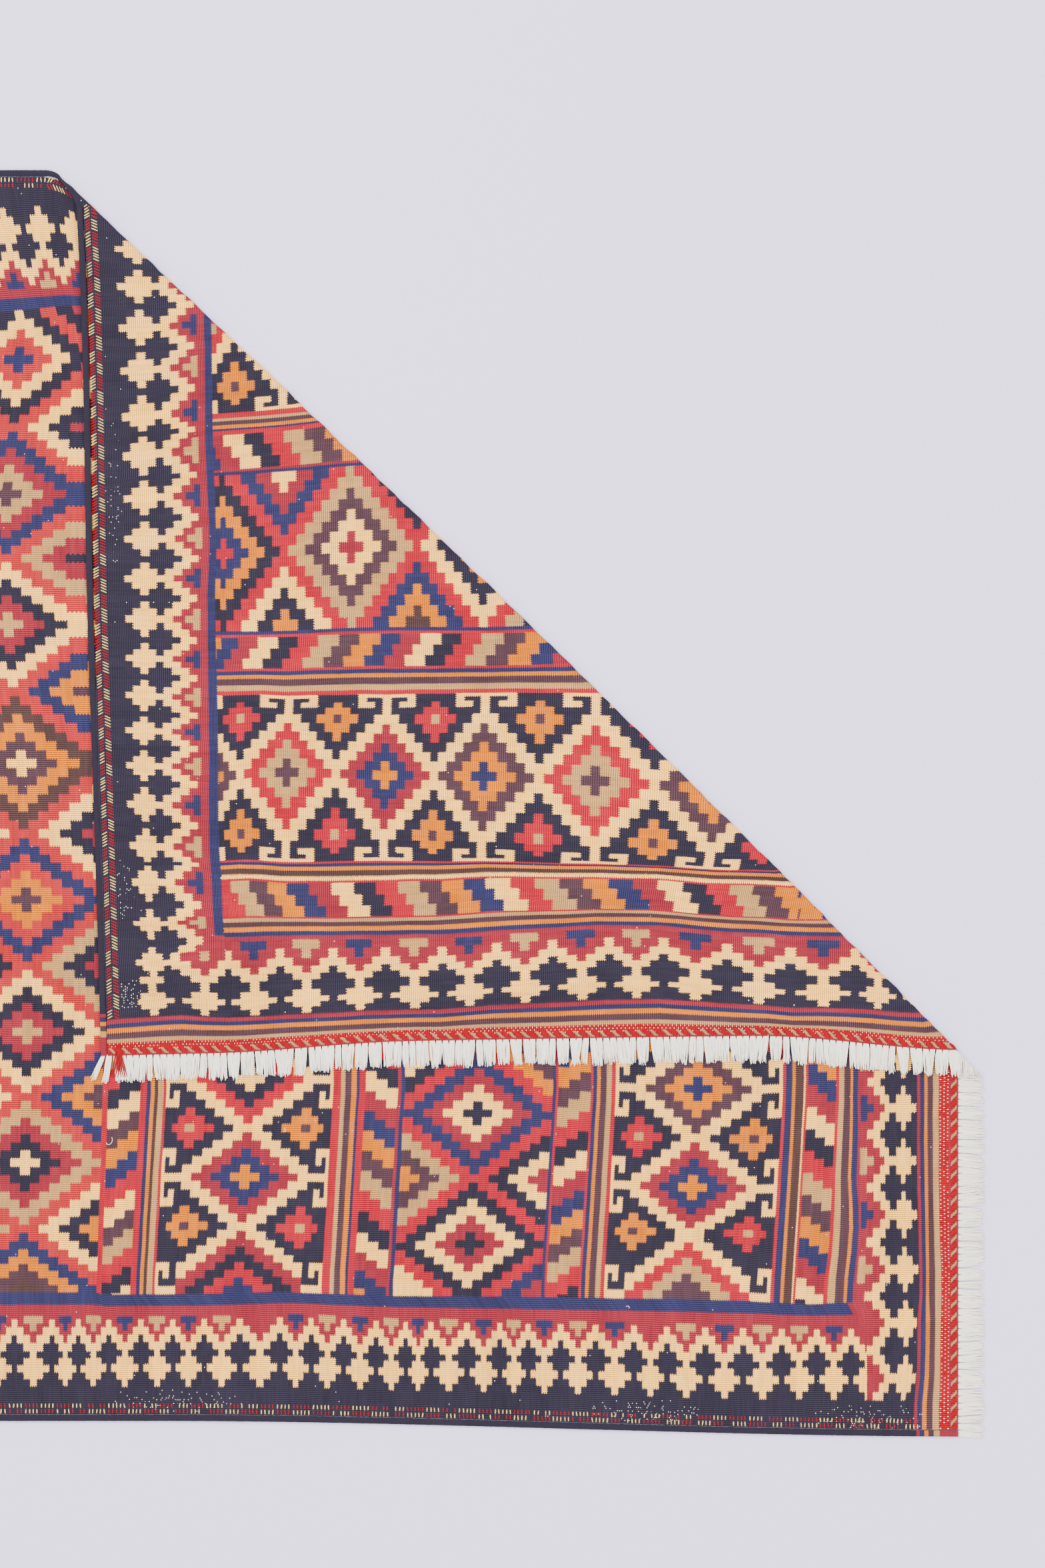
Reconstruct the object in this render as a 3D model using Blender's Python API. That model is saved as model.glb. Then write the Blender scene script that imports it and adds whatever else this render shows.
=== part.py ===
"""A flat-woven wool kilim rug, one corner folded back over itself, lying on a level surface.

Metres, +Z up. X runs along the rug's length and Y across it. The rug is worked out flat, as
(u, v) from its near left corner, and the corner is then rolled over a slanting fold line.
"""

import math
import random

import bmesh
import bpy

# The rug laid flat
LENGTH = 2.990  # woven length, end to end
WIDTH = 1.595  # over both selvedge cords
THICKNESS = 0.003
CORD_WIDTH = 0.008  # the overcast cord along each long edge
CORD_HEIGHT = 0.005
CORD_GAP = 0.0008  # cloth to cord
END_GAP = 0.0010  # cloth to the strip that the fringe grows from
STRIP_WIDTH = 0.0025
NEAR_EDGE_Y = -0.7877

# The folded corner
FOLD_X, FOLD_Y = 0.3792, 0.7625  # where the fold starts, at the far edge
FOLD_ANGLE = math.radians(-44.25)
FOLD_LENGTH = 1.55
FOLD_BOW = 0.008  # how far the fold line bulges at its middle
ROLL_RADIUS = 0.0045  # of the cloth's middle, round the fold
SETTLE = 0.070  # from the roll to where the flap lies down
FLAP_LEVEL = 0.0060  # the middle of the flap above the floor
FLAP_WAVE = 0.0025  # the flap's unevenness along its end
WAVE_PITCH = 0.43
FRINGE_LEVEL = 0.0052  # the middle of a strand that lies on the lower layer

# How the weave is out of square: the folded end sits lower, drawn in at the fold
DROP_NEAR, DROP_FAR, DROP_END = 0.020, 0.027, 0.009
DROP_START_NEAR, DROP_START_FAR = 0.473, 0.333
DROP_RUN_FAR, DROP_RUN_NEAR = 0.054, 1.054
PULL, PULL_CORNER = 0.020, 0.010

# Grid of the cloth
CELL_U, CELL_V = 0.077, 0.080
CORNER_U = (1.795, 1.915)  # the stretch of the far edge that turns over the fold
CORNER_STEP = 0.004
ROLL_STEPS = 5
SETTLE_CUTS = (0.020, 0.042, SETTLE)

# Fringe
PITCH = 0.0106
HIDDEN_PITCH = 0.0133
FOLD_PITCH = 0.0030
STRAND_LENGTH = 0.0355
STRAND_SPREAD = 0.0045
STRAND_TIP = 0.45  # the tip's width, as a share of the root's
FOLD_STEPS = 7  # lengths in a strand that goes round the fold

COLOURS = {
    "rug_cloth": (0.44, 0.11, 0.09),
    "cord": (0.035, 0.035, 0.060),
    "fringe": (0.82, 0.79, 0.72),
}


def ease(t):
    """0 to 1, level at both ends."""
    t = min(max(t, 0.0), 1.0)
    return t * t * (3.0 - 2.0 * t)


def mix(a, b, t):
    return a + (b - a) * t


def place(u, v):
    """Where a point of the flat rug lies before its corner is folded over."""
    x = u - LENGTH / 2
    over = v / WIDTH
    start = mix(DROP_START_NEAR, DROP_START_FAR, over)
    run = mix(DROP_RUN_NEAR, DROP_RUN_FAR, over)
    drop = mix(DROP_NEAR, DROP_FAR, over) * ease((x - start) / run)
    drop -= DROP_END * over * ease((x - 0.45) / 0.55)
    pull = PULL * ease((v - 0.48) / 0.28) - PULL_CORNER * ease((v - 1.20) / 0.25)
    return x - pull * ease((x - 0.6) / 0.6), NEAR_EDGE_Y + v - drop


def fold_bow(along):
    share = min(max(along / FOLD_LENGTH, 0.0), 1.0)
    return FOLD_BOW * 4.0 * share * (1.0 - share)


def to_fold(x, y):
    """A point as its way along the fold line and its distance past it."""
    dx, dy = x - FOLD_X, y - FOLD_Y
    along = dx * math.cos(FOLD_ANGLE) + dy * math.sin(FOLD_ANGLE)
    across = -dx * math.sin(FOLD_ANGLE) + dy * math.cos(FOLD_ANGLE)
    return along, across - fold_bow(along)


def flap_level(u, v, past_roll):
    """The height of the flap's middle: a roll that settles down, with a wavy end."""
    wave = 0.5 + 0.5 * math.sin(math.tau * v / WAVE_PITCH)
    level = FLAP_LEVEL + FLAP_WAVE * wave * ease((u - LENGTH + 0.25) / 0.25)
    level = mix(level, FRINGE_LEVEL, ease((u - LENGTH) / 0.020))
    roll_top = THICKNESS / 2 + 2 * ROLL_RADIUS
    return mix(roll_top, level, ease(past_roll / SETTLE))


def fold(along, across, height, u, v):
    """The folded place of a point that is height above the middle of the flat cloth."""
    angle = min(max(across / ROLL_RADIUS, 0.0), math.pi)
    if across <= 0.0:
        out, z = across, THICKNESS / 2
    elif angle < math.pi:
        out = ROLL_RADIUS * math.sin(angle)
        z = THICKNESS / 2 + ROLL_RADIUS * (1.0 - math.cos(angle))
    else:
        past_roll = across - math.pi * ROLL_RADIUS
        out, z = -past_roll, flap_level(u, v, past_roll)
    out += fold_bow(along) - height * math.sin(angle)
    z += height * math.cos(angle)
    x = FOLD_X + along * math.cos(FOLD_ANGLE) - out * math.sin(FOLD_ANGLE)
    y = FOLD_Y + along * math.sin(FOLD_ANGLE) + out * math.cos(FOLD_ANGLE)
    return x, y, z


def rug_point(u, v, height):
    """The final place of a point of the rug."""
    along, across = to_fold(*place(u, v))
    return fold(along, across, height, u, v)


def steps(start, end, step):
    """Even stations from start to end, no further apart than step."""
    count = max(1, math.ceil((end - start) / step - 1e-6))
    return [start + (end - start) * i / count for i in range(count + 1)]


def strand_stations(start, end, pitch):
    """The edges of the strands' roots, closer together where the end turns over the fold."""
    stations = [start]
    while stations[-1] < end:
        across = to_fold(*place(LENGTH, stations[-1]))[1]
        on_roll = -0.002 < across < math.pi * ROLL_RADIUS
        stations.append(stations[-1] + (FOLD_PITCH if on_roll else pitch))
    if end - stations[-2] < pitch / 2:
        stations.pop()
    stations[-1] = end
    return stations


def finish_solid(name, bm, colour, collection):
    """Turns a closed mesh's faces outwards and makes it an object with its own material."""
    bmesh.ops.recalc_face_normals(bm, faces=bm.faces[:])
    bmesh.ops.triangulate(bm, faces=bm.faces[:])
    mesh = bpy.data.meshes.new(name)
    bm.to_mesh(mesh)
    bm.free()
    material = bpy.data.materials.new(name)
    material.use_nodes = True
    surface = material.node_tree.nodes["Principled BSDF"]
    surface.inputs["Base Color"].default_value = (*colour, 1.0)
    surface.inputs["Roughness"].default_value = 0.95
    surface.inputs["Metallic"].default_value = 0.0
    mesh.materials.append(material)
    obj = bpy.data.objects.new(name, mesh)
    collection.objects.link(obj)


def split_edges(bm, chosen, stations, axis):
    """Adds a vertex at each station along the chosen edges, which run along the axis."""
    for edge in list(chosen):
        ends = sorted(edge.verts, key=lambda vert: vert.co[axis])
        low, high = ends[0].co[axis], ends[1].co[axis]
        inside = [s for s in stations if low + 1e-5 < s < high - 1e-5]
        start = ends[0]
        for station in inside:
            link = next(e for e in start.link_edges if e.other_vert(start) is ends[1])
            share = (station - start.co[axis]) / (high - start.co[axis])
            start = bmesh.utils.edge_split(link, start, share)[1]


def build_cloth(collection, end_stations):
    """The woven sheet: one layer, with its corner rolled over the fold."""
    inset = CORD_WIDTH + CORD_GAP
    us = steps(0.0, LENGTH, CELL_U)
    vs = steps(inset, WIDTH - inset, CELL_V)
    bm = bmesh.new()
    bmesh.ops.create_grid(bm, x_segments=len(us) - 1, y_segments=len(vs) - 1, size=0.5)
    for vert in bm.verts:
        vert.co.x = (vert.co.x + 0.5) * LENGTH
        vert.co.y = inset + (vert.co.y + 0.5) * (WIDTH - 2 * inset)
    far = [e for e in bm.edges if all(abs(w.co.y - vs[-1]) < 1e-5 for w in e.verts)]
    split_edges(bm, far, steps(*CORNER_U, CORNER_STEP), 0)
    end = [e for e in bm.edges if all(abs(w.co.x - LENGTH) < 1e-5 for w in e.verts)]
    split_edges(bm, end, end_stations, 1)

    flat_u = bm.verts.layers.float.new("u")
    flat_v = bm.verts.layers.float.new("v")
    for vert in bm.verts:
        vert[flat_u], vert[flat_v] = vert.co.x, vert.co.y
        vert.co.x, vert.co.y = to_fold(*place(vert.co.x, vert.co.y))
    arc = math.pi * ROLL_RADIUS
    cuts = [arc * i / ROLL_STEPS for i in range(ROLL_STEPS + 1)]
    cuts += [arc + cut for cut in SETTLE_CUTS]
    for cut in cuts:
        geometry = bm.verts[:] + bm.edges[:] + bm.faces[:]
        bmesh.ops.bisect_plane(bm, geom=geometry, dist=1e-4, plane_co=(0, cut, 0), plane_no=(0, 1, 0))
    bmesh.ops.triangulate(bm, faces=bm.faces[:])
    bmesh.ops.translate(bm, verts=bm.verts[:], vec=(0, 0, -THICKNESS / 2))
    raised = bmesh.ops.extrude_face_region(bm, geom=bm.faces[:], use_keep_orig=True)["geom"]
    top = [item for item in raised if isinstance(item, bmesh.types.BMVert)]
    bmesh.ops.translate(bm, verts=top, vec=(0, 0, THICKNESS))
    for vert in bm.verts:
        vert.co = fold(*vert.co, vert[flat_u], vert[flat_v])
    finish_solid("rug_cloth", bm, COLOURS["rug_cloth"], collection)


def tube(name, rings, colour, collection):
    """A closed tube through rings of points, with flat ends."""
    sides = len(rings[0])
    bm = bmesh.new()
    rows = [[bm.verts.new(point) for point in ring] for ring in rings]
    for row, following in zip(rows, rows[1:]):
        for i in range(sides):
            j = (i + 1) % sides
            bm.faces.new((row[i], row[j], following[j], following[i]))
    bm.faces.new(rows[0])
    bm.faces.new(rows[-1])
    finish_solid(name, bm, colour, collection)


def build_cord(name, edge_v, outward, collection):
    """An overcast cord beside one long edge of the cloth, which it follows over the fold."""
    us = steps(0.0, LENGTH, CELL_U)
    if outward > 0:
        us = sorted({round(u, 5) for u in us + steps(*CORNER_U, CORNER_STEP)})
    edge = [place(u, edge_v) for u in us]
    rings = []
    for i, u in enumerate(us):
        ax, ay = edge[max(i - 1, 0)]
        bx, by = edge[min(i + 1, len(us) - 1)]
        run = math.hypot(bx - ax, by - ay)
        nx, ny = -outward * (by - ay) / run, outward * (bx - ax) / run
        centre = CORD_GAP + CORD_WIDTH / 2
        along, across = to_fold(edge[i][0] + nx * centre, edge[i][1] + ny * centre)
        lift = (CORD_HEIGHT - THICKNESS) / 2 * (1.0 - ease(across / (math.pi * ROLL_RADIUS)))
        ring = []
        for k in range(8):
            turn = math.tau * (k + 0.5) / 8
            reach = centre + CORD_WIDTH / 2 * math.cos(turn) / math.cos(math.pi / 8)
            height = lift + CORD_HEIGHT / 2 * math.sin(turn) / math.cos(math.pi / 8)
            along, across = to_fold(edge[i][0] + nx * reach, edge[i][1] + ny * reach)
            ring.append(fold(along, across, height, u, edge_v))
        rings.append(ring)
    tube(name, rings, COLOURS["cord"], collection)


def strand_sections(rng, end_u, way, low_v, high_v, short):
    """The cross-sections of one lock, from its root out, as lists of flat corners."""
    length = STRAND_LENGTH * rng.uniform(0.86, 1.0)
    lean = rng.uniform(-STRAND_SPREAD, STRAND_SPREAD)
    middle, half = (low_v + high_v) / 2, (high_v - low_v) / 2
    near_fold = way > 0 and -0.030 < to_fold(*place(end_u, middle))[1] < 0.020
    count = FOLD_STEPS if near_fold else (1 if short else 2)
    if near_fold:
        lean = 0.0
    sections = []
    for i in range(1, count + 1):
        share = i / count
        centre = middle + lean * share * share
        wide = half * mix(1.0, STRAND_TIP, math.sqrt(share))
        u = end_u + way * length * share
        sections.append([(u, centre + side * wide, high) for side, high in CORNERS])
    return sections


CORNERS = ((-1, -1), (1, -1), (1, 1), (-1, 1))


def build_fringe(name, end_u, way, stations, collection, seed, short=False):
    """A narrow strip beside the cloth's end, with one lock grown from each of its outer faces."""
    rng = random.Random(seed)
    half = THICKNESS / 2
    inner_u = end_u + way * END_GAP
    outer_u = inner_u + way * STRIP_WIDTH
    bm = bmesh.new()

    def corner(u, v, side):
        return bm.verts.new(rug_point(u, v, side * half))

    rows = []
    for v in stations:
        rows.append([corner(inner_u, v, -1), corner(inner_u, v, 1),
                     corner(outer_u, v, 1), corner(outer_u, v, -1)])
    bm.faces.new(rows[0])
    bm.faces.new(rows[-1])
    for row, following, low, high in zip(rows, rows[1:], stations, stations[1:]):
        for i in range(3):
            if i != 2:
                bm.faces.new((row[i], row[i + 1], following[i + 1], following[i]))
        bm.faces.new((row[3], row[0], following[0], following[3]))
        previous = [row[3], following[3], following[2], row[2]]
        for section in strand_sections(rng, outer_u, way, low, high, short):
            current = [corner(*point) for point in section]
            for i in range(4):
                j = (i + 1) % 4
                bm.faces.new((previous[i], previous[j], current[j], current[i]))
            previous = current
        bm.faces.new(previous)
    finish_solid(name, bm, COLOURS["fringe"], collection)


def fold_station():
    """How far up the folded end the roll starts."""
    v = 0.0
    while to_fold(*place(LENGTH + 0.003, v))[1] < -0.004:
        v += 0.0005
    return v


def main():
    for obj in list(bpy.data.objects):
        bpy.data.objects.remove(obj, do_unlink=True)
    rug = bpy.data.collections.new("kilim_rug")
    bpy.context.scene.collection.children.link(rug)

    turn_v = fold_station()
    lying = strand_stations(0.0, turn_v, PITCH)
    folded = strand_stations(turn_v + END_GAP, WIDTH, PITCH)
    build_cloth(rug, lying + folded)
    inset = CORD_WIDTH + CORD_GAP
    build_cord("selvedge_near", inset, -1, rug)
    build_cord("selvedge_far", WIDTH - inset, 1, rug)
    build_fringe("fringe_right", LENGTH, 1, lying, rug, seed=3)
    build_fringe("fringe_flap", LENGTH, 1, folded, rug, seed=5)
    hidden = strand_stations(0.0, WIDTH, HIDDEN_PITCH)
    build_fringe("fringe_left", 0.0, -1, hidden, rug, seed=7, short=True)


main()
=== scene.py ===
"""A flat-woven kilim rug with one corner folded back, on a pale studio floor.

Metres, +Z up. The rug is worked out flat, as (u, v) from its near left corner, and its corner is
rolled over a slanting fold line. The pattern is charted in millimetres, by s, the distance from
the nearer end, and q, the distance from the near edge.
"""

import bisect
import math
import random

import bmesh
import bpy
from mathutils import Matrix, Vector, noise


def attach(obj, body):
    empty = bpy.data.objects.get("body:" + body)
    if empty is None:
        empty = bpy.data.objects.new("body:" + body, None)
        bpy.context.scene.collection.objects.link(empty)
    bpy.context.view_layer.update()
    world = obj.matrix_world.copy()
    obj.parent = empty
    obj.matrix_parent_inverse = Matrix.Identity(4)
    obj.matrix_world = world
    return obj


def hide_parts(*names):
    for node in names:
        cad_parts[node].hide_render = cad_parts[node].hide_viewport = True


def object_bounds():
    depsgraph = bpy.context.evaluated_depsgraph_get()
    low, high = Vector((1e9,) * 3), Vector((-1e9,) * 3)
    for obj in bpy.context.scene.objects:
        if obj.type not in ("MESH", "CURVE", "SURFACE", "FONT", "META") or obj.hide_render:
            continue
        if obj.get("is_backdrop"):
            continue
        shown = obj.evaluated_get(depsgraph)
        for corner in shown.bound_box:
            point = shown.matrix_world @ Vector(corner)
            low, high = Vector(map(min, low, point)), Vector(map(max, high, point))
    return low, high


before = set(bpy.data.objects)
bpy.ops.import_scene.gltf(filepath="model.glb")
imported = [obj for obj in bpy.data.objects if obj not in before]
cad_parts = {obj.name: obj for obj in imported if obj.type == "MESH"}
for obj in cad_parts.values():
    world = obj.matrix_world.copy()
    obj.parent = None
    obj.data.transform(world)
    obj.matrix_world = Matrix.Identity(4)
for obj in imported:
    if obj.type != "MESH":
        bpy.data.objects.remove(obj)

bl_info = {
    "name": "Kilim Rug with a Folded Corner",
    "version": (1, 0, 0),
    "blender": (4, 5, 0),
    "location": "View3D > Sidebar > Kilim",
    "description": "Weaves a kilim rug, edges it, fringes it and folds one corner over",
    "category": "Object",
}

CAD_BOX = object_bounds()

# The rug laid flat
LENGTH = 2.990
WIDTH = 1.595
THICKNESS = 0.003
CORD_WIDTH = 0.008
CORD_HEIGHT = 0.005
CORD_GAP = 0.0008
INSET = CORD_WIDTH + CORD_GAP
NEAR_EDGE_Y = -0.7877

# The folded corner
FOLD_X, FOLD_Y = 0.3792, 0.7625
FOLD_COS, FOLD_SIN = math.cos(math.radians(-44.25)), math.sin(math.radians(-44.25))
FOLD_LENGTH = 1.55
FOLD_BOW = 0.008
ROLL_RADIUS = 0.0045
ROLL_STEPS = 9
SETTLE = 0.070
FLAP_LEVEL = 0.0060
FLAP_WAVE = 0.0025
WAVE_PITCH = 0.43
FRINGE_LEVEL = 0.0052

# How the weave is out of square
DROP_NEAR, DROP_FAR, DROP_END = 0.020, 0.027, 0.009
DROP_START_NEAR, DROP_START_FAR = 0.473, 0.333
DROP_RUN_FAR, DROP_RUN_NEAR = 0.054, 1.054
PULL, PULL_CORNER = 0.020, 0.010

# The yarns' letters in the chart, in the order of their names on the colour ramp
YARNS = "nbmrscgpokwle"
DYES = "navy blue madder red salmon cream grey purple orange brown white pale scarlet".split()
RAMP = 16.0  # places on the colour ramp


def clamp(t, high=1.0):
    return min(max(t, 0.0), high)


def ease(t):
    """0 to 1, level at both ends."""
    t = clamp(t)
    return t * t * (3.0 - 2.0 * t)


def mix(a, b, t):
    return a + (b - a) * t


def table(points, at):
    """A value read off a piecewise-linear table of (place, value), held level past its ends."""
    if at <= points[0][0]:
        return points[0][1]
    for (x0, y0), (x1, y1) in zip(points, points[1:]):
        if at <= x1:
            return mix(y0, y1, (at - x0) / (x1 - x0))
    return points[-1][1]


def read_rows(text):
    """A table's rows, with commas between them, of numbers and letters with spaces between."""
    return [[float(word) if word[-1].isdigit() else word for word in row.split()]
            for row in text.split(",")]


# ---- where the rug lies

def pull_at(v):
    return PULL * ease((v - 0.48) / 0.28) - PULL_CORNER * ease((v - 1.20) / 0.25)


def place(u, v):
    """Where a point of the flat rug lies before its corner is folded over."""
    x = u - LENGTH / 2
    over = v / WIDTH
    start = mix(DROP_START_NEAR, DROP_START_FAR, over)
    run = mix(DROP_RUN_NEAR, DROP_RUN_FAR, over)
    drop = mix(DROP_NEAR, DROP_FAR, over) * ease((x - start) / run)
    drop -= DROP_END * over * ease((x - 0.45) / 0.55)
    return x - pull_at(v) * ease((x - 0.6) / 0.6), NEAR_EDGE_Y + v - drop


def fold_bow(along):
    share = clamp(along / FOLD_LENGTH)
    return FOLD_BOW * 4.0 * share * (1.0 - share)


def to_fold(x, y):
    """A point as its way along the fold line and its distance past it."""
    dx, dy = x - FOLD_X, y - FOLD_Y
    along = dx * FOLD_COS + dy * FOLD_SIN
    across = -dx * FOLD_SIN + dy * FOLD_COS
    return along, across - fold_bow(along)


def flap_level(u, v, past_roll):
    """The height of the flap's middle: a roll that settles down, with a wavy end."""
    wave = 0.5 + 0.5 * math.sin(math.tau * v / WAVE_PITCH)
    level = FLAP_LEVEL + FLAP_WAVE * wave * ease((u - LENGTH + 0.25) / 0.25)
    level = mix(level, FRINGE_LEVEL, ease((u - LENGTH) / 0.020))
    return mix(THICKNESS / 2 + 2 * ROLL_RADIUS, level, ease(past_roll / SETTLE))


def fold(along, across, height, u, v):
    """The folded place of a point that is height above the middle of the flat cloth."""
    angle = clamp(across / ROLL_RADIUS, math.pi)
    if across <= 0.0:
        out, z = across, THICKNESS / 2
    elif angle < math.pi:
        out = ROLL_RADIUS * math.sin(angle)
        z = THICKNESS / 2 + ROLL_RADIUS * (1.0 - math.cos(angle))
    else:
        past_roll = across - math.pi * ROLL_RADIUS
        out, z = -past_roll, flap_level(u, v, past_roll)
    jag = 0.0016 * noise.noise(Vector((along * 70, 3.1, 0.4))) * math.sin(angle)
    out += fold_bow(along) - height * math.sin(angle) + jag
    z += height * math.cos(angle)
    x = FOLD_X + along * FOLD_COS - out * FOLD_SIN
    y = FOLD_Y + along * FOLD_SIN + out * FOLD_COS
    return x, y, z


def rug_point(u, v, height):
    """The final place of a point of the rug."""
    along, across = to_fold(*place(u, v))
    return fold(along, across, height, u, v)


def steps(start, end, step):
    """Even stations from start to end, no further apart than step."""
    count = max(1, math.ceil((end - start) / step - 1e-6))
    return [start + (end - start) * i / count for i in range(count + 1)]


# ---- the pattern's chart

END = LENGTH * 1000
SIDE = WIDTH * 1000
MIDDLE = END / 2
INNER_NEAR, INNER_FAR = 164.5, 1425.4  # the field between the side borders
LONGEST_U, LONGEST_V = 28.0, 33.0  # a cell's greatest size
UNIT = 1e-5  # the finished cells are in whole hundredths of a millimetre

# Stripes across the whole width, each to its distance from the end
END_STRIPES = read_rows("11 m, 22.5 e, 29.5 g, 36.5 p, 41.5 o, 48 b, 52 m, 53.2 n")
END_ROWS = (53.2, 58.1, 63.8, 69.5, 76.8, 87.4, 93.9, 100, 108.5, 116.5, 124, 127)
CORNER_S = 116.5  # where the side borders stop and the end border runs through
STARS_S = 82  # the end border's middle
# The field's stripes and panels, each to its distance from the end
FIELD = read_rows("""
    134 b, 138 o, 149 p, 158 g, 163 r, 201 slant_a, 204 r, 206 c, 216 k, 220 o, 228 b, 232 r,
    440 hooks_outer, 445 r, 451.5 g, 459.5 p, 464 o, 469 b, 472 r, 513 slant_b, 516 r, 520 b,
    708 lattice, 713 b, 717 m, 758 slant_c, 766 r, 769.6 b, 776 o, 783.7 p, 789 g, 799 r,
    1011 hooks_inner, 1014.5 r, 1022 g, 1027 k, 1032.5 o, 1038 b, 1047 r, 1090 slant_d, 1097 r""")
FIELD.append([MIDDLE, "stars"])

EDGE = INSET * 1000  # the cloth's edge beside the cord
HEM = 26  # the dark edge's inner line, on both sides
SLIVER = 0.3  # no narrower cell is made
# Each side border: q of the rug's edge, and from it the first row, a row's height, the last lines
NEAR_BORDER = (0, 45, 9.6, 149, INNER_NEAR)
FAR_BORDER = (SIDE, 49, 10, 154, SIDE - INNER_FAR)
# Where the dark stars of the borders stand, and the marks in the gaps between them
NEAR_STARS = read_rows("""
    93.5 137 180.5 224.7 274.2 322.3 371.7 413.4 462.8 507 548.7 584.5 626.1 673 704.2 741.9 783.5
    825.2 864.2 916.3 961.8 1001 1042 1083 1122 1154.8 1203.6""")[0]
NEAR_STARS += [NEAR_STARS[-1] + (MIDDLE - NEAR_STARS[-1]) * i / 7 for i in range(1, 8)]
NEAR_MARKS = "nbggbgnbgbgbgbgbgbngbgbgbg" + "bgbgbgb"
FAR_GAPS = read_rows("""
    142 195 249 303 352 391 436 484 535 581 634 684 739 807 861 911 965 1008 1050 1092 1135
    1187""")[0]
FAR_GAPS += [FAR_GAPS[-1] + (MIDDLE - FAR_GAPS[-1]) * i / 6 for i in range(1, 7)]
FAR_MARKS = "n" + "gb" * 14
# and those of the end's border, the flap's as places on the flat cloth
END_STARS_BODY = [37.5, 105, 172.5, 241, 311, 380, 448, 507, 565]
END_STARS_FLAP = read_rows("""
    623.4 708 789.5 873 943 1015.9 1087 1156.4 1229 1296.5 1363.9 1430.6 1493.4 1558""")[0]
END_MARKS = "nn" + "gb" * 9 + "gn"
CREAM_REACH = (0, 1, 2, 1, 0, 1)  # how far the cream stars reach, in sixths, row by row
# and past them how far the madder and the mark in it reach
SIDE_REACH = ((1, -1), (2, -1), (2, 0), (3, 0), (3, 1), (9, 1), (9, -1))
END_REACH = ((1, -1), (2, -1), (3, 0), (9, 1), (9, -1))

F_ORDER, R_ORDER, D_ORDER = "cnrgpobm", "cmbopgrn", "cpgrncpobr"
A_ORDER = "cnrgpobcrgpobmcnrgpobrrgpobm"
SLANT_STEP = 10.7
SLANT_TURN = 700.0  # the orders change here
# way along v from column to column; then order, a cream's middle and the run, near and far
SLANTS = {
    "slant_a": (1, (F_ORDER, 393, 27.4), (A_ORDER, 1241.5, 28.1)),
    "slant_b": (-1, (R_ORDER, 334.5, 25.6), (F_ORDER, 1360, 26.0)),
    "slant_c": (1, (R_ORDER, 226, 25.6), (F_ORDER, 1381, 26.6)),
    "slant_d": (-1, (D_ORDER, 278, 25.0), (R_ORDER, 1290, 26.0)),
}

ROWS = 120
HOOK_MARGINS = (4.0, 9.8, 17.0, 26.0)
HOOK_COLUMNS = 13  # between the margins
# the diamond cut by the near border, each yarn to its reach, and then the whole ones
HOOKS = {
    "hooks_outer": (read_rows("2 p, 4 g, 6 r, 8 c"),
                    "obm bop pgr obm bop pgr bop obm pgr bop".split()),
    "hooks_inner": (read_rows("1 b, 3 r, 5 n, 7 m, 9 c"),
                    "obm cnr bop pgr obm bop pgr obm bop pgr".split()),
}
LATTICE_COLUMNS = 15
LATTICE_FULL = "nmcn ncmb opgn cmbc bomg ponc mcpg rbon".split()
# outer side, then inner side, from the one cut by the near border; from the middle outwards
LATTICE_HALF = ("mmb mcn gpo cng bgc mng kob onc bco".split(),
                "ccc opg bcn mgb poc gnc cpn cmb nbc".split())
STAR_COLUMNS, STAR_CELL = 32, 12.635
STAR_ROW, STAR_ROWS_EVEN, STAR_ROW_LAST, STAR_ROWS = 10.57, 112, 12.85, 118
STARS_FULL = "kpob cnmg gmnc posb cpok gmnc pgmb bscn".split()
STARS_BETWEEN = "onc pob mng mnc pob nmg mnc rmn".split()


def pairs(stations):
    return zip(stations, stations[1:])


def star_columns(darks):
    """Cells along a border of stars: start, end, sixths from the pale star's middle, gap."""
    columns = []
    shares = (0, 0.5, 1.5, 2.5, 3.5, 4.5, 5.5, 6)
    for gap, (a, b) in enumerate(pairs(darks)):
        cell = (b - a) / 6
        for (low, high), c in zip(pairs(shares), (3, 2, 1, 0, 1, 2, 3)):
            columns.append((a + low * cell, a + high * cell, c, gap))
    return columns


def star_yarn(row, c, mark, reaches):
    """The yarn of a border cell: rows from the edge inwards, c from the pale star's middle."""
    if row < 6:
        return "c" if c <= CREAM_REACH[row] else "n"
    madder, marked = reaches[row - 6]
    if mark != "n" and c <= marked:
        return mark
    if c < madder:
        return "m"
    return "n" if row == 6 and c == 3 else "c"


def side_border(cells, darks, marks, border):
    """One side border, in rows from the rug's edge inwards."""
    edge_q, first, height, *last = border
    edges = [EDGE, HEM, first]
    edges += [first + height * i for i in (1, 2, 3, 4, 5, 6, 7, 7.5, 8, 8.5, 9, 9.45)] + last
    far_side = edge_q > 0
    for s0, s1, c, gap in star_columns(darks):
        for row, (near, far) in enumerate(pairs(edges)):
            start = END_ROWS[6] if far_side and 2 <= row <= 6 else CORNER_S
            low_s, high_s = max(s0, start), min(s1, MIDDLE)
            if high_s - low_s < SLIVER:
                continue
            if row < 2:
                yarn = "n"
            elif row == 15:
                yarn = "b" if low_s > END_ROWS[-1] - 0.1 else "m"
            else:
                yarn = star_yarn(row - 2, c, marks[gap], SIDE_REACH)
            low, high = sorted((abs(edge_q - near), abs(edge_q - far)))
            cells.append((low_s, low, high_s, high, yarn))


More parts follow.
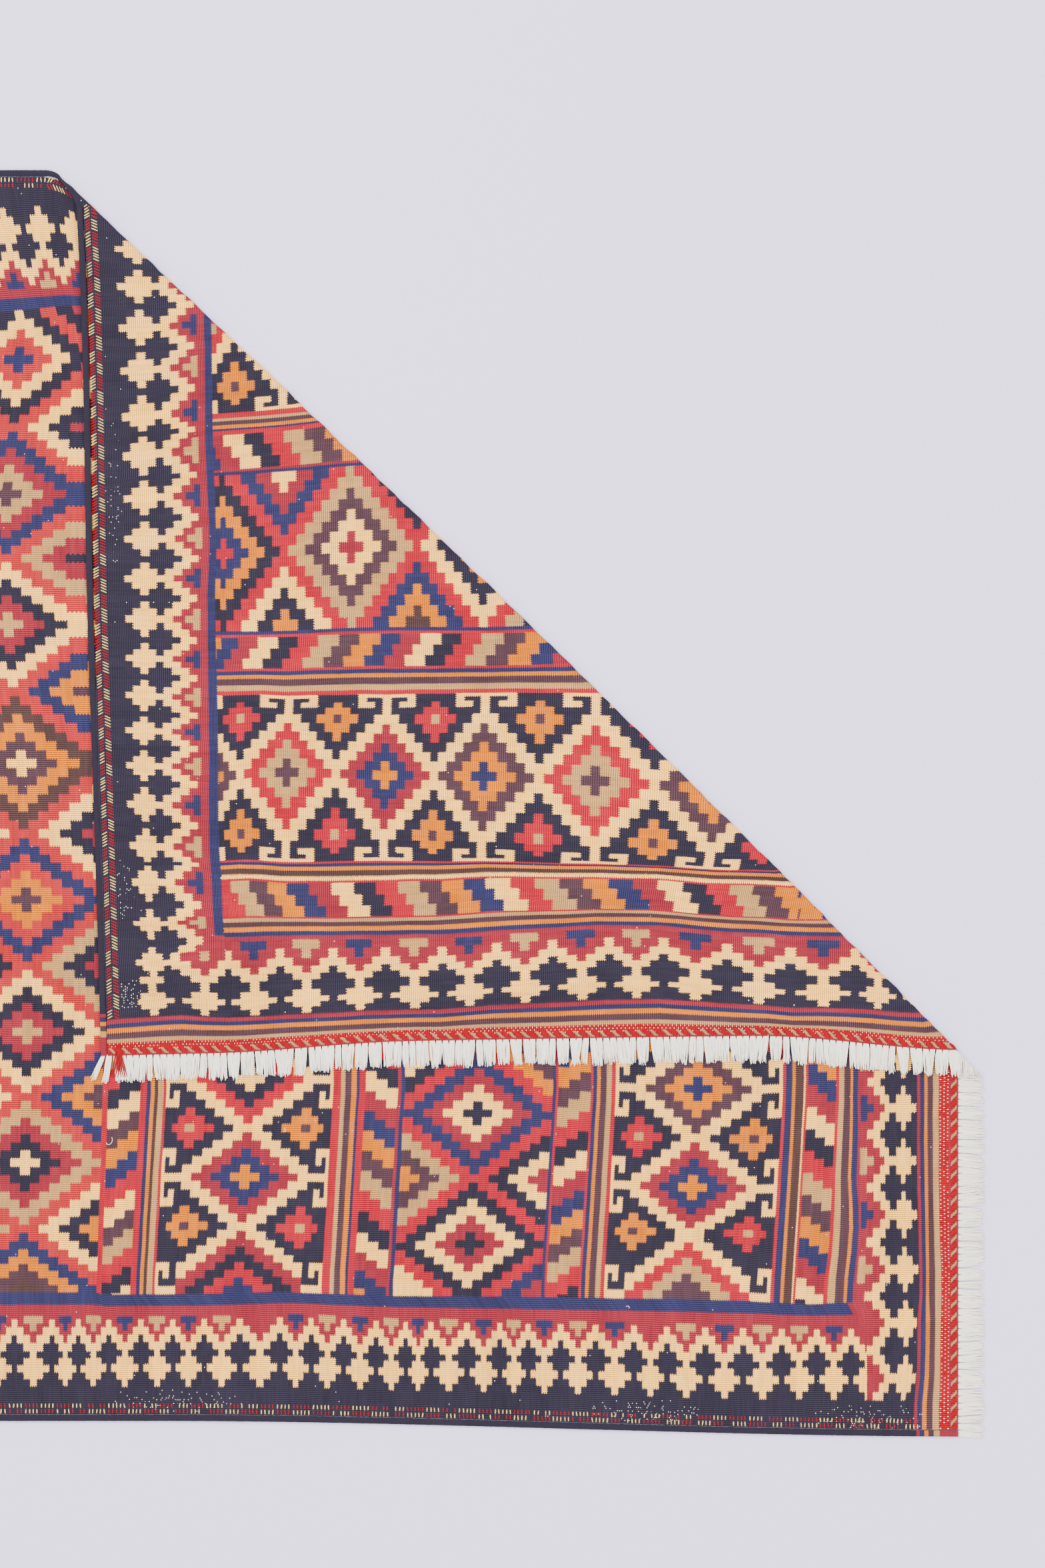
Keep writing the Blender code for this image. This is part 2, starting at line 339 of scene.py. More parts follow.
def end_border(cells):
    """The stripes at the end, and the border of stars turned to face it."""
    start, side = 0, SIDE - EDGE
    darks = END_STARS_BODY + [flap_q(v) for v in END_STARS_FLAP]
    qs = steps(EDGE, side, LONGEST_V / 2)
    for end, yarn in END_STRIPES:
        cells += [(start, low, end, high, yarn) for low, high in pairs(qs)]
        start = end
    for row, (s0, s1) in enumerate(pairs(END_ROWS)):
        low_q, high_q = INNER_NEAR, INNER_FAR
        if s1 <= CORNER_S:
            low_q, high_q = NEAR_BORDER[1], SIDE - FAR_BORDER[1]
            for q0, q1 in ((EDGE, HEM), (HEM, low_q), (high_q, SIDE - HEM), (SIDE - HEM, side)):
                cells.append((s0, q0, s1, q1, "n"))
            high_q -= 50 if row >= 6 else 0  # the far side border starts here
        for q0, q1, c, gap in star_columns(darks):
            q0, q1 = max(q0, low_q), min(q1, high_q)
            if q1 - q0 > SLIVER:
                yarn = star_yarn(row, c, END_MARKS[gap], END_REACH)
                cells.append((s0, q0, s1, q1, yarn))


def slanted(cells, s0, s1, name):
    """Three columns of short runs that step sideways, as slanting stripes."""
    way, near, far = SLANTS[name]
    columns = steps(s0, s1, (s1 - s0) / 3)
    for column, (low_s, high_s) in enumerate(pairs(columns)):
        for (order, cream, run), low_q, high_q in ((near, INNER_NEAR, SLANT_TURN),
                                                   (far, SLANT_TURN, INNER_FAR)):
            middle = cream + way * (column - 1) * SLANT_STEP
            first = math.floor((low_q - middle) / run)
            for n in range(first, first + 60):
                a = max(low_q, middle + (n - 0.5) * run)
                b = min(high_q, middle + (n + 0.5) * run)
                if b - a > SLIVER:
                    cells.append((low_s, a, high_s, b, order[-n % len(order)]))


def ring_yarn(d, rings):
    """The yarn of a stepped diamond at d cells from its middle, two cells to a ring."""
    return rings[min(max(d, 0) // 2, len(rings) - 1)]


def hook_yarn(name, region, i, j, outer):
    """The yarn in a panel of hooked diamonds. region is 0 to 3 in the margins, 4 inside."""
    first, motifs = HOOKS[name]
    k = 0 if j < 8 else (j - 8) // 12 + 1
    here = j if k == 0 else j - (2 + 12 * k)
    gap = (j - 2) // 12
    away = abs(j - (8 + 12 * gap))
    if region == 0:
        return "c" if abs(here) <= 3 else "n"
    if region == 1:
        return "c" if abs(here) in (0, 3) else "n"
    if region == 2 and abs(here) in (0, 2, 3) or region == 3 and here == 0:
        return "c"
    reach = {2: 0, 3: 1}.get(region, {6: 2, 5: 1, 4: 0}.get(abs(i), -1))
    if away <= reach:
        star = "rg" if (gap % 2 == 1) != outer else "op"
        return star[1] if abs(i) == 6 and away == 0 and region == 4 else star[0]
    if region < 4:
        return "n"
    d = abs(i) + abs(here)
    if k == 0:
        return next((yarn for reach, yarn in first if d <= reach), "n")
    if d <= 5:
        return ring_yarn(d, motifs[(k - 1) % len(motifs)])
    return "c" if d <= 7 else "n"


def fill(cells, columns, rows, yarn_at):
    """The cells of a panel, with a function that tells a cell's yarn from its numbers."""
    for column, (low, high) in enumerate(columns):
        for j, (q0, q1) in enumerate(pairs(rows)):
            cells.append((low, q0, high, q1, yarn_at(column, j)))


def field_rows():
    return steps(INNER_NEAR, INNER_FAR, (INNER_FAR - INNER_NEAR) / ROWS)


def hook_panel(cells, s0, s1, name):
    margins = list(pairs((0.0, *HOOK_MARGINS)))
    depth = HOOK_MARGINS[-1]
    inner = steps(s0 + depth, s1 - depth, (s1 - s0 - 2 * depth) / HOOK_COLUMNS)
    columns = [(s0 + a, s0 + b) for a, b in margins] + list(pairs(inner))
    columns += [(s1 - b, s1 - a) for a, b in margins]

    def yarn_at(column, j):
        i = column - 4
        if 0 <= i < HOOK_COLUMNS:
            return hook_yarn(name, 4, i - 6, j, i < 6)
        return hook_yarn(name, column % (HOOK_COLUMNS + 4), 7, j, i < 0)

    fill(cells, columns, field_rows(), yarn_at)


def diamond_yarn(i, j, whole, ground, between):
    """The yarn i columns and j rows from the middle of a diamond in a lattice of ground."""
    d = abs(i) + abs(j)
    if d <= 7:
        return ring_yarn(d, whole)
    return ground if d <= 9 else ring_yarn(15 - d, between)


def lattice_panel(cells, s0, s1):
    def yarn_at(column, j):
        i, k = column - 7, (j + 2) // 16
        half = LATTICE_HALF[i > 0][((j - 6) // 16 + 1) % 9]
        return diamond_yarn(i, j - 6 - 16 * k, LATTICE_FULL[k % 8], "r", half)

    fill(cells, pairs(steps(s0, s1, (s1 - s0) / LATTICE_COLUMNS)), field_rows(), yarn_at)


def star_field(cells, s0):
    """The main field: stepped diamonds in a lattice, with smaller ones between."""
    rows = [INNER_NEAR + STAR_ROW * j for j in range(STAR_ROWS_EVEN + 1)]
    rows += [rows[-1] + STAR_ROW_LAST * j for j in range(1, STAR_ROWS - STAR_ROWS_EVEN + 1)]
    rows[-1] = INNER_FAR

    def yarn_at(column, j):
        block, i, k = column // 16, column % 16 - 7, (j + 8) // 16
        between = STARS_BETWEEN[(j // 16 + 5 * (block + (i > 0))) % 8]
        return diamond_yarn(i, j - 16 * k, STARS_FULL[(k + 3 * block) % 8], "s", between)

    columns = [(s0 + i * STAR_CELL, min(s0 + (i + 1) * STAR_CELL, MIDDLE))
               for i in range(STAR_COLUMNS)]
    fill(cells, columns, rows, yarn_at)


def chart():
    """All the cells of one half of the rug, as (s0, q0, s1, q1, yarn)."""
    cells = []
    end_border(cells)
    side_border(cells, NEAR_STARS, NEAR_MARKS, NEAR_BORDER)
    halves = [a + (b - a) / 2 for a, b in pairs(FAR_GAPS)]
    far_stars = [91, 125.5, 175] + halves[1:] + [MIDDLE + 26]
    side_border(cells, far_stars, FAR_MARKS, FAR_BORDER)
    start = END_ROWS[-1]
    for end, kind in FIELD:
        if kind.startswith("slant"):
            slanted(cells, start, end, kind)
        elif kind.startswith("hooks"):
            hook_panel(cells, start, end, kind)
        elif kind == "lattice":
            lattice_panel(cells, start, end)
        elif kind == "stars":
            star_field(cells, start)
        else:
            qs = steps(INNER_NEAR, INNER_FAR, LONGEST_V)
            cells += [(start, low, end, high, kind) for low, high in pairs(qs)]
        start = end
    return cells


# ---- from the chart to the cloth

# On the flap the weave is a little stretched: chart place to cloth place, from the end
FLAP_S = read_rows("""
    0 0, 11 7, 22.5 15.8, 29.5 20.3, 36.5 28, 41.5 34, 48 39.5, 52 45, 56 53, 81.7 81.5, 93.9 97,
    100 105.5, 108.5 115, 116.5 127, 124 138, 127 143.8, 134 149.7, 138 156, 149 162.6, 158 167.6,
    163 170, 201 215.5, 204 218.3, 206 224, 216 231, 220 236, 228 239.5, 232 242, 440 453,
    472 489, 513 530, 520 538, 708 738, 717 745, 758 790, 799 818, 1011 1036, 2990 3015""")
# and the shift across it, near the end and far from it
FLAP_V_END = read_rows("""
    500 0, 650 5, 820 12, 947 22, 1073 33, 1199 34, 1325 31, 1408 17, 1425.4 10, 1441 7, 1461 4,
    1546 -1, 1586 0""")
FLAP_V_TOP = read_rows("""
    500 0, 650 4, 820 10, 947 16, 1073 22, 1199 20, 1325 19, 1408 13, 1425.4 5, 1441 -1.5,
    1461 -3.5, 1546 3, 1586 0""")
# the end stripes' wander, by place across the cloth
END_WANDER = read_rows("""
    500 0, 623 -2.5, 708 -8.5, 789 -4.5, 873 3, 943 2.7, 1016 1, 1087 0.5, 1156 -3.5, 1229 -3.5,
    1296 -2, 1364 1.5, 1430 3, 1493 5, 1595 0""")
LEAN = 16.0  # the body's panels lean towards the end, by this much
JITTER = 0.7
# The main field's wander with q, along s and along q
MAIN_S = read_rows("""
    222 0, 517 -5, 637 -5, 757 -1, 877 4, 937 13, 997 18, 1057 22, 1177 22, 1237 16, 1297 10,
    1357 6, 1417 -3, 1470 6, 1540 10, 1572 0""")
MAIN_V = read_rows("""
    45 0, 90 -4, 165 0, 222 -9, 422 -10, 517 -12, 757 -13, 877 -6, 937 0, 1117 0, 1177 -3,
    1297 -2, 1357 -1, 1417 -14, 1470 -11, 1540 -12, 1572 -4, 1586 0""")
# Wander over both: a row of places q, then rows of s and a value for each place
BODY_S = read_rows("""
    186 215 249 283 317 351 427,
    0 0 0 0 0 0 0 0,
    25 -1 0 1 2 3 3 3,
    36 1 1 1 2 2 3 3,
    51 -3 -3 -2 -1 0 0 0,
    62 1 2 3 4 4 4 4,
    94 0 0 0 0 1 2 3,
    113 2 2 2 2 2 3 4,
    130 9 6 2 4 8 8 9,
    144 9 7 6 6 8 8 8,
    165 10 7 5 5 5 5 5,
    187 7 6 6 6 6 6 6,
    262 9 9 9 9 9 9 9,
    337 12 12 12 12 12 12 12,
    1020 14 14 14 14 14 14 14,
    1070 5 5 5 5 5 5 5,
    1110 0 0 0 0 0 0 0""")
BODY_V = read_rows("""
    20 95 150 190 240 290 440,
    60 0 4 7 6 6 7 4,
    112 0 4 7 6 7 7 4,
    187 0 4 4 3 0 0 3,
    262 0 0 6 8 6 -2 -1,
    337 0 -1 6 9 7 -1 0,
    435 0 2 5 7 4 0 0,
    560 0 0 3 4 3 3 3,
    637 0 -1 2 2 0 1 2,
    712 0 -3 1 -2 -6 -2 -1,
    862 0 1 3 0 -7 -4 -4,
    937 0 -1 -1 -3 -4 -4 -6,
    1087 0 -2 -3 -4 -7 -8 -6""")
FLAP_WANDER_S = read_rows("""
    760 820 947 1073 1199 1325 1373 1441 1505 1565,
    20 0 0 0 0 0 0 0 0 0 0,
    60 0 0 0 -3 -2 -3 -4 -4 0 0,
    125 -8 -7 -3 -6 -4 0 0 0 -4 2,
    190 -18 -20 -14 -9 -10 -6 0 0 4 7,
    250 -34 -35 -28 -18 -10 -5 1 1 4 9,
    310 -37 -37 -24 -14 -8 4 6 3 5 9,
    370 -36 -35 -21 -13 -11 4 8 4 8 11,
    435 -26 -26 -17 -13 -12 -4 2 4 8 13,
    500 -15 -15 -15 -15 -11 -6 -3 0 3 6,
    560 -13 -13 -13 -12 -9 -4 0 3 5 7,
    625 -8 -8 -8 -8 -6 -3 -2 0 2 4,
    690 -4 -4 -4 -4 -3 -1 0 0 0 -2,
    760 0 0 0 0 0 -1 0 0 -4 -7,
    880 0 0 0 0 0 0 0 0 -2 -2,
    1000 0 0 0 0 0 0 0 0 0 5""")
FLAP_WANDER_V = read_rows("""
    760 820 947 1073 1199 1325 1373 1441 1505 1565,
    20 0 0 0 0 0 0 0 0 0 0,
    60 2 2 -2 0 0 0 -2 2 0 0,
    125 1 0 -1 0 0 -1 -1 -2 7 1,
    190 -12 -12 -6 -3 -5 0 0 0 9 1,
    250 -24 -22 -10 -1 -3 -2 1 3 10 2,
    310 -30 -28 -10 -3 -4 -3 1 3 10 4,
    370 -30 -28 -12 -4 -5 -4 0 2 9 3,
    435 -28 -24 -13 -6 -7 -7 -2 2 6 1,
    500 -8 -8 -8 -5 -5 -3 0 2 3 -3,
    560 -3 -3 -3 -3 -3 -1 1 2 1 -2,
    625 0 0 0 0 -3 0 1 -1 -2 -3,
    760 0 0 0 0 0 -1 0 3 0 -4,
    1000 0 0 0 0 0 0 0 0 0 0""")


def wander(grid, s, q):
    """A value read off a grid: straight lines between its rows, and between a row's places."""
    places, *rows = grid
    high = min(max(bisect.bisect([row[0] for row in rows], s), 1), len(rows) - 1)
    low, top = rows[high - 1:high + 1]
    share = clamp((s - low[0]) / (top[0] - low[0]))
    return mix(*(table(list(zip(places, row[1:])), q) for row in (low, top)), share)


def flap_shift(q, s):
    return mix(table(FLAP_V_END, q), table(FLAP_V_TOP, q), clamp((s - 190) / 450))


def flap_q(v):
    """The chart's q of a place on the flat cloth of the flap, in the border of stars."""
    q = v
    for _ in range(12):
        q = v - flap_shift(q, STARS_S)
    return q


def chart_to_cloth(p, q):
    """The flat cloth's (u, v) in metres for a place on the chart, with p from the left end."""
    s = END - p
    lean = LEAN * clamp((q - 170) / 265) * (1 - ease((q - 1150) / 200))
    body_s = s - lean * ease((s - 52) / 155) * (1 - ease((s - 1015) / 165))
    body_s += ease((q - 152) / 14) * wander(BODY_S, s, q)
    body_s += ease((s - 1097) / 30) * table(MAIN_S, q)
    body_s += 5 * ease((95 - q) / 65) * ease(s / 45) * (1 - ease((s - 60) / 60))
    body_v = q + mix(wander(BODY_V, s, q), table(MAIN_V, q), ease((s - 1085) / 14))
    along, across = to_fold(*place((END - body_s) / 1000, q / 1000))
    reach = mix(0.2, 0.03, ease((along - 1.15) / 0.2))
    share = ease((across + reach) / reach)
    if share > 0:
        flat_v = q + flap_shift(q, s) + wander(FLAP_WANDER_V, s, q)
        flap_s = table(FLAP_S, s) + wander(FLAP_WANDER_S, s, q)
        x = LENGTH / 2 - flap_s / 1000
        flap_s += 1000 * pull_at(flat_v / 1000) * (1 - ease((x - 0.6) / 0.6))
        flap_s += table(END_WANDER, flat_v) * ease(s / 50) * (1 - ease((s - 150) / 200))
        body_s, body_v = mix(body_s, flap_s, share), mix(body_v, flat_v, share)
    inside = min(q - EDGE, SIDE - EDGE - q, s, END - s)
    loose = JITTER * ease(inside / 12)
    body_s += loose * noise.noise(Vector((p / 23, q / 31, 1.7)))
    body_v += loose * noise.noise(Vector((p / 29, q / 21, 8.3)))
    return (END - body_s) / 1000, body_v / 1000


def inside_span(sorted_values, low, high):
    """The values strictly between low and high."""
    return sorted_values[bisect.bisect_right(sorted_values, low):
                         bisect.bisect_left(sorted_values, high)]


def join_cells(cells, along, longest):
    """Joins cells of one yarn that share a side, along s (0) or q (1)."""
    across = 1 - along
    joined = []
    for cell in sorted(cells, key=lambda c: (c[across], c[across + 2], c[along])):
        last = joined[-1] if joined else None
        if (last and all(last[i] == cell[i] for i in (across, across + 2, 4))
                and last[along + 2] == cell[along] and cell[along + 2] - last[along] <= longest):
            last[along + 2] = cell[along + 2]
        else:
            joined.append(list(cell))
    return joined


def tidy_cells(cells):
    """Cells in whole hundredths of a millimetre, long ones cut up and short ones joined."""
    whole = []
    for s0, q0, s1, q1, yarn in cells:
        for a, b in pairs(steps(s0, s1, LONGEST_U)):
            for c, d in pairs(steps(q0, q1, LONGEST_V)):
                cell = tuple(round(value * 20) * 5 for value in (a, c, b, d))
                if cell[2] > cell[0] and cell[3] > cell[1]:
                    whole.append((*cell, YARNS.index(yarn)))
    return join_cells(join_cells(whole, 1, LONGEST_V * 100), 0, LONGEST_U * 100)


def side_tables(cells):
    """The cells that start and end on each line of the chart, along u and then along v."""
    tables = [{}, {}, {}, {}]
    for p0, q0, p1, q1, yarn in cells:
        for lines, key, low, high in zip(tables, (p0, p1, q0, q1), (q0, q0, p0, p0),
                                         (q1, q1, p1, p1)):
            lines.setdefault(key, []).append((low, high, yarn))
    for lines in tables:
        for line in lines.values():
            line.sort()
    return tables


def line_points(starts, ends):
    """The corners that lie on each line of the chart."""
    points = {}
    for key, line in (*starts.items(), *ends.items()):
        points.setdefault(key, set()).update(at for low, high, _ in line for at in (low, high))
    return {key: sorted(places) for key, places in points.items()}


def yarn_beside(lines, key, at, own=None):
    """The yarn of the cell on a line at a place along it, or own where there is none."""
    line = lines.get(key, ())
    found = bisect.bisect_right(line, (at, math.inf, 0)) - 1
    return line[found][2] if found >= 0 and line[found][1] >= at else own


def split_cells(cells):
    """Cuts each cell where the yarn beside it changes, so each side has one neighbour."""
    starts_u, ends_u, starts_v, ends_v = side_tables(cells)
    on_u, on_v = line_points(starts_u, ends_u), line_points(starts_v, ends_v)

    def changes(lines, points, key, low, high):
        return [at for at in inside_span(points[key], low, high)
                if yarn_beside(lines, key, at - 0.5) != yarn_beside(lines, key, at + 0.5)]

    split = []
    for p0, q0, p1, q1, yarn in cells:
        qs = {q0, q1, *changes(ends_u, on_u, p0, q0, q1), *changes(starts_u, on_u, p1, q0, q1)}
        ps = {p0, p1, *changes(ends_v, on_v, q0, p0, p1), *changes(starts_v, on_v, q1, p0, p1)}
        for c, d in pairs(sorted(qs)):
            for a, b in pairs(sorted(ps)):
                split.append((a, c, b, d, yarn))
    return split


def weave_mesh():
    """The whole cloth as one layer of cells with their yarns, still flat."""
    half = tidy_cells(chart())
    end = round(END * 100)
    mirrored = [(end - s1, q0, end - s0, q1, yarn) for s0, q0, s1, q1, yarn in half]
    cells = split_cells(mirrored + half)
    starts_u, ends_u, starts_v, ends_v = side_tables(cells)
    on_u, on_v = line_points(starts_u, ends_u), line_points(starts_v, ends_v)

    bm = bmesh.new()
    flat_u = bm.verts.layers.float.new("flat_u")
    flat_v = bm.verts.layers.float.new("flat_v")
    chart_uv = bm.loops.layers.uv.new("weave")
    layers = [bm.faces.layers.float_vector.new(name)
              for name in ("cell_low", "cell_high", "sides")]
    verts = {}

    def vert(p, q):
        if (p, q) not in verts:
            u, v = chart_to_cloth(p / 100, q / 100)
            made = bm.verts.new((*to_fold(*place(u, v)), 0.0))
            made[flat_u], made[flat_v] = u, v
            verts[(p, q)] = made
        return verts[(p, q)]

    for p0, q0, p1, q1, yarn in cells:
        loop = [(p, q0) for p in [p0, *inside_span(on_v[q0], p0, p1)]]
        loop += [(p1, q) for q in [q0, *inside_span(on_u[p1], q0, q1)]]
        loop += [(p, q1) for p in [p1, *reversed(inside_span(on_v[q1], p0, p1))]]
        loop += [(p0, q) for q in [q1, *reversed(inside_span(on_u[p0], q0, q1))]]
        face = bm.faces.new([vert(*point) for point in loop])
        for corner, (p, q) in zip(face.loops, loop):
            corner[chart_uv].uv = (p * UNIT, q * UNIT)
        middle_p, middle_q = (p0 + p1) / 2, (q0 + q1) / 2
        left, *others = (yarn_beside(lines, key, at, yarn) for lines, key, at in (
            (ends_u, p0, middle_q), (starts_u, p1, middle_q), (ends_v, q0, middle_p),
            (starts_v, q1, middle_p)))
        values = (p0 * UNIT, q0 * UNIT, yarn), (p1 * UNIT, q1 * UNIT, left), others
        for layer, value in zip(layers, values):
            face[layer] = value
    return bm, flat_u, flat_v


# ---- materials

def linear(red, green, blue):
    """A screen colour of 0 to 255 as the renderer's linear colour."""
    return tuple(((c / 255 + 0.055) / 1.055) ** 2.4 for c in (red, green, blue))


def node_maths(operation, reflected=False):
    """A method of Value that adds a Math node. The reflected form swaps its two inputs."""
    def method(value, other):
        pair = (other, value) if reflected else (value, other)
        return value.graph.maths(operation, *pair)
    return method


class Value:
    """A node's output, so that shader maths reads as maths."""

    __add__, __radd__ = node_maths("ADD"), node_maths("ADD", True)
    __sub__, __rsub__ = node_maths("SUBTRACT"), node_maths("SUBTRACT", True)
    __mul__, __rmul__ = node_maths("MULTIPLY"), node_maths("MULTIPLY", True)
    __truediv__, __rtruediv__ = node_maths("DIVIDE"), node_maths("DIVIDE", True)
    __lt__, __gt__ = node_maths("LESS_THAN"), node_maths("GREATER_THAN")

    def __init__(self, graph, socket):
        self.graph, self.socket = graph, socket

    def math(self, operation, *others):
        return self.graph.maths(operation, self, *others)


class Graph:
    """A new material's nodes."""

    def __init__(self, name):
        self.material = bpy.data.materials.new(name)
        self.material.use_nodes = True
        self.nodes = self.material.node_tree.nodes
        self.links = self.material.node_tree.links
        self.surface = self.nodes["Principled BSDF"]

    def add(self, kind, settings=None, inputs=None, output=0):
        """Makes a node, sets it up, then sets or links its sockets."""
        node = self.nodes.new(kind)
        for key, value in (settings or {}).items():
            if key == "stops":
                ramp = node.color_ramp
                while len(ramp.elements) < len(value):
                    ramp.elements.new(1.0)
                for element, (position, colour) in zip(ramp.elements, value):
                    element.position, element.color = position, (*colour, 1.0)
            elif key == "interpolation":
                node.color_ramp.interpolation = value
            else:
                setattr(node, key, value)
        for key, value in (inputs or {}).items():
            if isinstance(value, Value):
                self.links.new(value.socket, node.inputs[key])
            else:
                node.inputs[key].default_value = value
        return Value(self, node.outputs[output])

    def maths(self, operation, *values):
        return self.add("ShaderNodeMath", {"operation": operation}, dict(enumerate(values)))

    def parts(self, vector):
        """A vector's x, y and z."""
        outputs = self.add("ShaderNodeSeparateXYZ", None, {0: vector}).socket.node.outputs
        return [Value(self, socket) for socket in outputs]

    def vector(self, *parts):
        return self.add("ShaderNodeCombineXYZ", None, dict(enumerate(parts)))

    def attribute(self, name, output):
        return self.add("ShaderNodeAttribute", {"attribute_name": name}, None, output)

    def grain(self, vector, scale, detail=2.0):
        """Noise from 0 to 1 on a vector that is stretched by the scale."""
        stretched = self.add("ShaderNodeVectorMath", {"operation": "MULTIPLY"},
                             {0: vector, 1: scale})
        return self.add("ShaderNodeTexNoise", None,
                        {"Vector": stretched, "Scale": 1.0, "Detail": detail})

    def dye(self, dyes, index):
        """The colour of a yarn by its number, read off a ramp with a stop for each yarn."""
        stops = [(i / RAMP, tuple(getattr(dyes, name))) for i, name in enumerate(DYES)]
        return self.add("ShaderNodeValToRGB", {"interpolation": "CONSTANT", "stops": stops},
                        {0: (index + 0.5) / RAMP})

    def cell_chance(self, vector):
        """A chance value of 0 to 1 for each place of a plane."""
        return self.add("ShaderNodeTexWhiteNoise", {"noise_dimensions": "2D"},
                        {"Vector": vector})

    def twist(self, strand, turns):
        """Plied yarn on a map along a strand and round it: 0 in the groove, 1 on the ply."""
        along, around, _ = self.parts(strand)
        pitch, ply = turns
        return along, (along / pitch + around * ply).math("PINGPONG", 0.5) * 2.0

    def tint(self, colour, factor):
        """A colour made lighter or darker by a factor."""
        return self.add("ShaderNodeVectorMath", {"operation": "SCALE"}, {0: colour, 3: factor})

    def blend(self, factor, low, high):
        return self.add("ShaderNodeMix", {"data_type": "RGBA"}, {0: factor, 6: low, 7: high}, 2)

    def finish(self, colour, height, depth, roughness):
        """Feeds the surface: what varies is linked and what doesn't is set."""
        bump = self.add("ShaderNodeBump", None,
                        {"Height": height, "Distance": depth, "Strength": 1.0})
        self.links.new(colour.socket, self.surface.inputs["Base Color"])
        self.links.new(bump.socket, self.surface.inputs["Normal"])
        self.surface.inputs["Roughness"].default_value = roughness
        self.surface.inputs["Specular IOR Level"].default_value = 0.05
        return self.material


# Worn places on the chart, in metres: middle, reach and strength
WORN = ((2.880, 0.021, 0.080, 0.020, 0.4), (2.590, 0.026, 0.080, 0.016, 0.4),
        (2.000, 0.026, 0.090, 0.016, 0.3), (2.914, 1.557, 0.022, 0.016, 0.6),
        (2.800, 1.556, 0.050, 0.012, 0.3), (2.300, 1.560, 0.120, 0.012, 0.2))


def woven_material(weave, dyes):
    """Wool in weft-faced ribs: cells of yarn with beaded edges, streaked, worn and ribbed, with
    painted shade in the grooves between the ribs and the beads.
    """
    g = Graph("woven_wool")
    chart_place = g.add("ShaderNodeUVMap", {"uv_map": "weave"})
    u, v, _ = g.parts(chart_place)
    low_u, low_v, own = g.parts(g.attribute("cell_low", 1))
    high_u, high_v, left = g.parts(g.attribute("cell_high", 1))
    right, below, above = g.parts(g.attribute("sides", 1))

    rib_half = weave.rib_pitch / 2
    rib_v = v + g.grain(chart_place, (90, 12, 0)) * 0.0012
    rib = rib_v.math("PINGPONG", rib_half) / rib_half
    bead = (u + g.grain(chart_place, (40, 400, 0)) * 0.001).math("PINGPONG", 0.00055) / 0.00055
    ragged = g.grain(chart_place, (700, 700, 0), 1.0) - 0.5
    comb = (u + g.grain(chart_place, (60, 300, 0)) * 0.004).math("PINGPONG", 0.0014) / 0.0014
    edge_u = (rib - 0.5) * weave.tooth * 0.55 + ragged * 0.0014
    edge_v = (comb - 0.5) * weave.tooth + ragged * 0.0014
    index = own
    for beside, over in ((left, u < low_u + edge_u), (right, u > high_u + edge_u),
                         (below, v < low_v + edge_v), (above, v > high_v + edge_v)):
        index = index + (beside - index) * over
    dye = g.dye(dyes, index)

    streak = g.grain(chart_place, (420, 22, 0))
    abrash = g.grain(chart_place, (28, 2.5, 0))
    soil = g.grain(chart_place, (9, 9, 0), 4.0)
    cell = g.cell_chance(g.attribute("cell_low", 1))
    # Painted shade: the colour is darkened in the grooves between the ribs and between the weft
    # beads, on top of the dye's random streaks and patches
    groove_shade = 1.0 - (rib * 1.7).math("MINIMUM", 1.0)
    shade = (1.0 + (streak - 0.5) * 0.55 * weave.streaks + (abrash - 0.5) * 0.30 * weave.streaks
             + (soil - 0.5) * 0.25 + (cell - 0.5) * 0.12 + (bead - 0.5) * 0.16)
    shade = shade * (1.05 + (0.29 - groove_shade) * weave.groove_shade)
    wool = g.tint(dye, shade)

    worn = 0.0
    for middle_u, middle_v, reach_u, reach_v, strength in WORN:
        far_u, far_v = (u - middle_u) / reach_u, (v - middle_v) / reach_v
        worn = worn + (1.0 - far_u * far_u - far_v * far_v).math("MAXIMUM", 0.0) * strength
    rib_number = (rib_v / weave.rib_pitch).math("FLOOR")
    other = rib_number.math("PINGPONG", 1.0)
    crest = rib > 0.54

    def dots(pitch, length):
        """Dashes of bare warp along the ribs, staggered from rib to rib."""
        run = u / pitch + other * 0.5
        number = run.math("FLOOR")
        chance = g.cell_chance(g.vector(number, rib_number))
        middle = (run - number - 0.5).math("ABSOLUTE")
        return (middle < length / pitch / 2) * crest, chance

    dash, chance = dots(0.0027, 0.0009)
    patchy = g.grain(chart_place, (150, 150, 0), 3.0)
    bare = dash * (chance > 0.9985 - worn * (patchy * 2.4 - 0.6).math("MAXIMUM", 0.0) * weave.wear)
    band_dash, chance = dots(0.0084, 0.0015)
    open_band = (index > YARNS.index("e") - 0.5) * band_dash * (chance > 0.12)
    shown = (bare + open_band).math("MINIMUM", 1.0)
    colour = g.blend(shown * 0.9, wool, (*dyes.white, 1.0))

    fuzz = g.grain(chart_place, (2500, 2500, 0), 1.0)
    height = rib.math("SQRT") + bead * 0.25 + fuzz * 0.25 + shown * 0.3
    return g.finish(colour, height, weave.rib_depth, 0.92)


def yarn_material(name, dyes, pitch):
    """Plied wool along a strand, with the pitch of its plies, and painted shade in the grooves
    between the plies.
    """
    g = Graph(name)
    strand = g.add("ShaderNodeUVMap", {"uv_map": "strand"})
    dye = g.dye(dyes, g.attribute("yarn", 2))
    _, twist = g.twist(strand, (pitch, 0.5))
    patch = g.grain(g.add("ShaderNodeTexCoord", None, None, 3), (55, 55, 55))
    fine = g.grain(strand, (900, 6, 0), 1.0)
    # Painted shade: twist darkens the colour in the grooves between the plies; patch and fine vary
    # the tone at random
    shade = 0.90 + twist * 0.20 + (patch - 0.5) * 0.35 + (fine - 0.5) * 0.35
    return g.finish(g.tint(dye, shade), twist.math("SQRT") + fine * 0.3, 0.0004, 0.9)


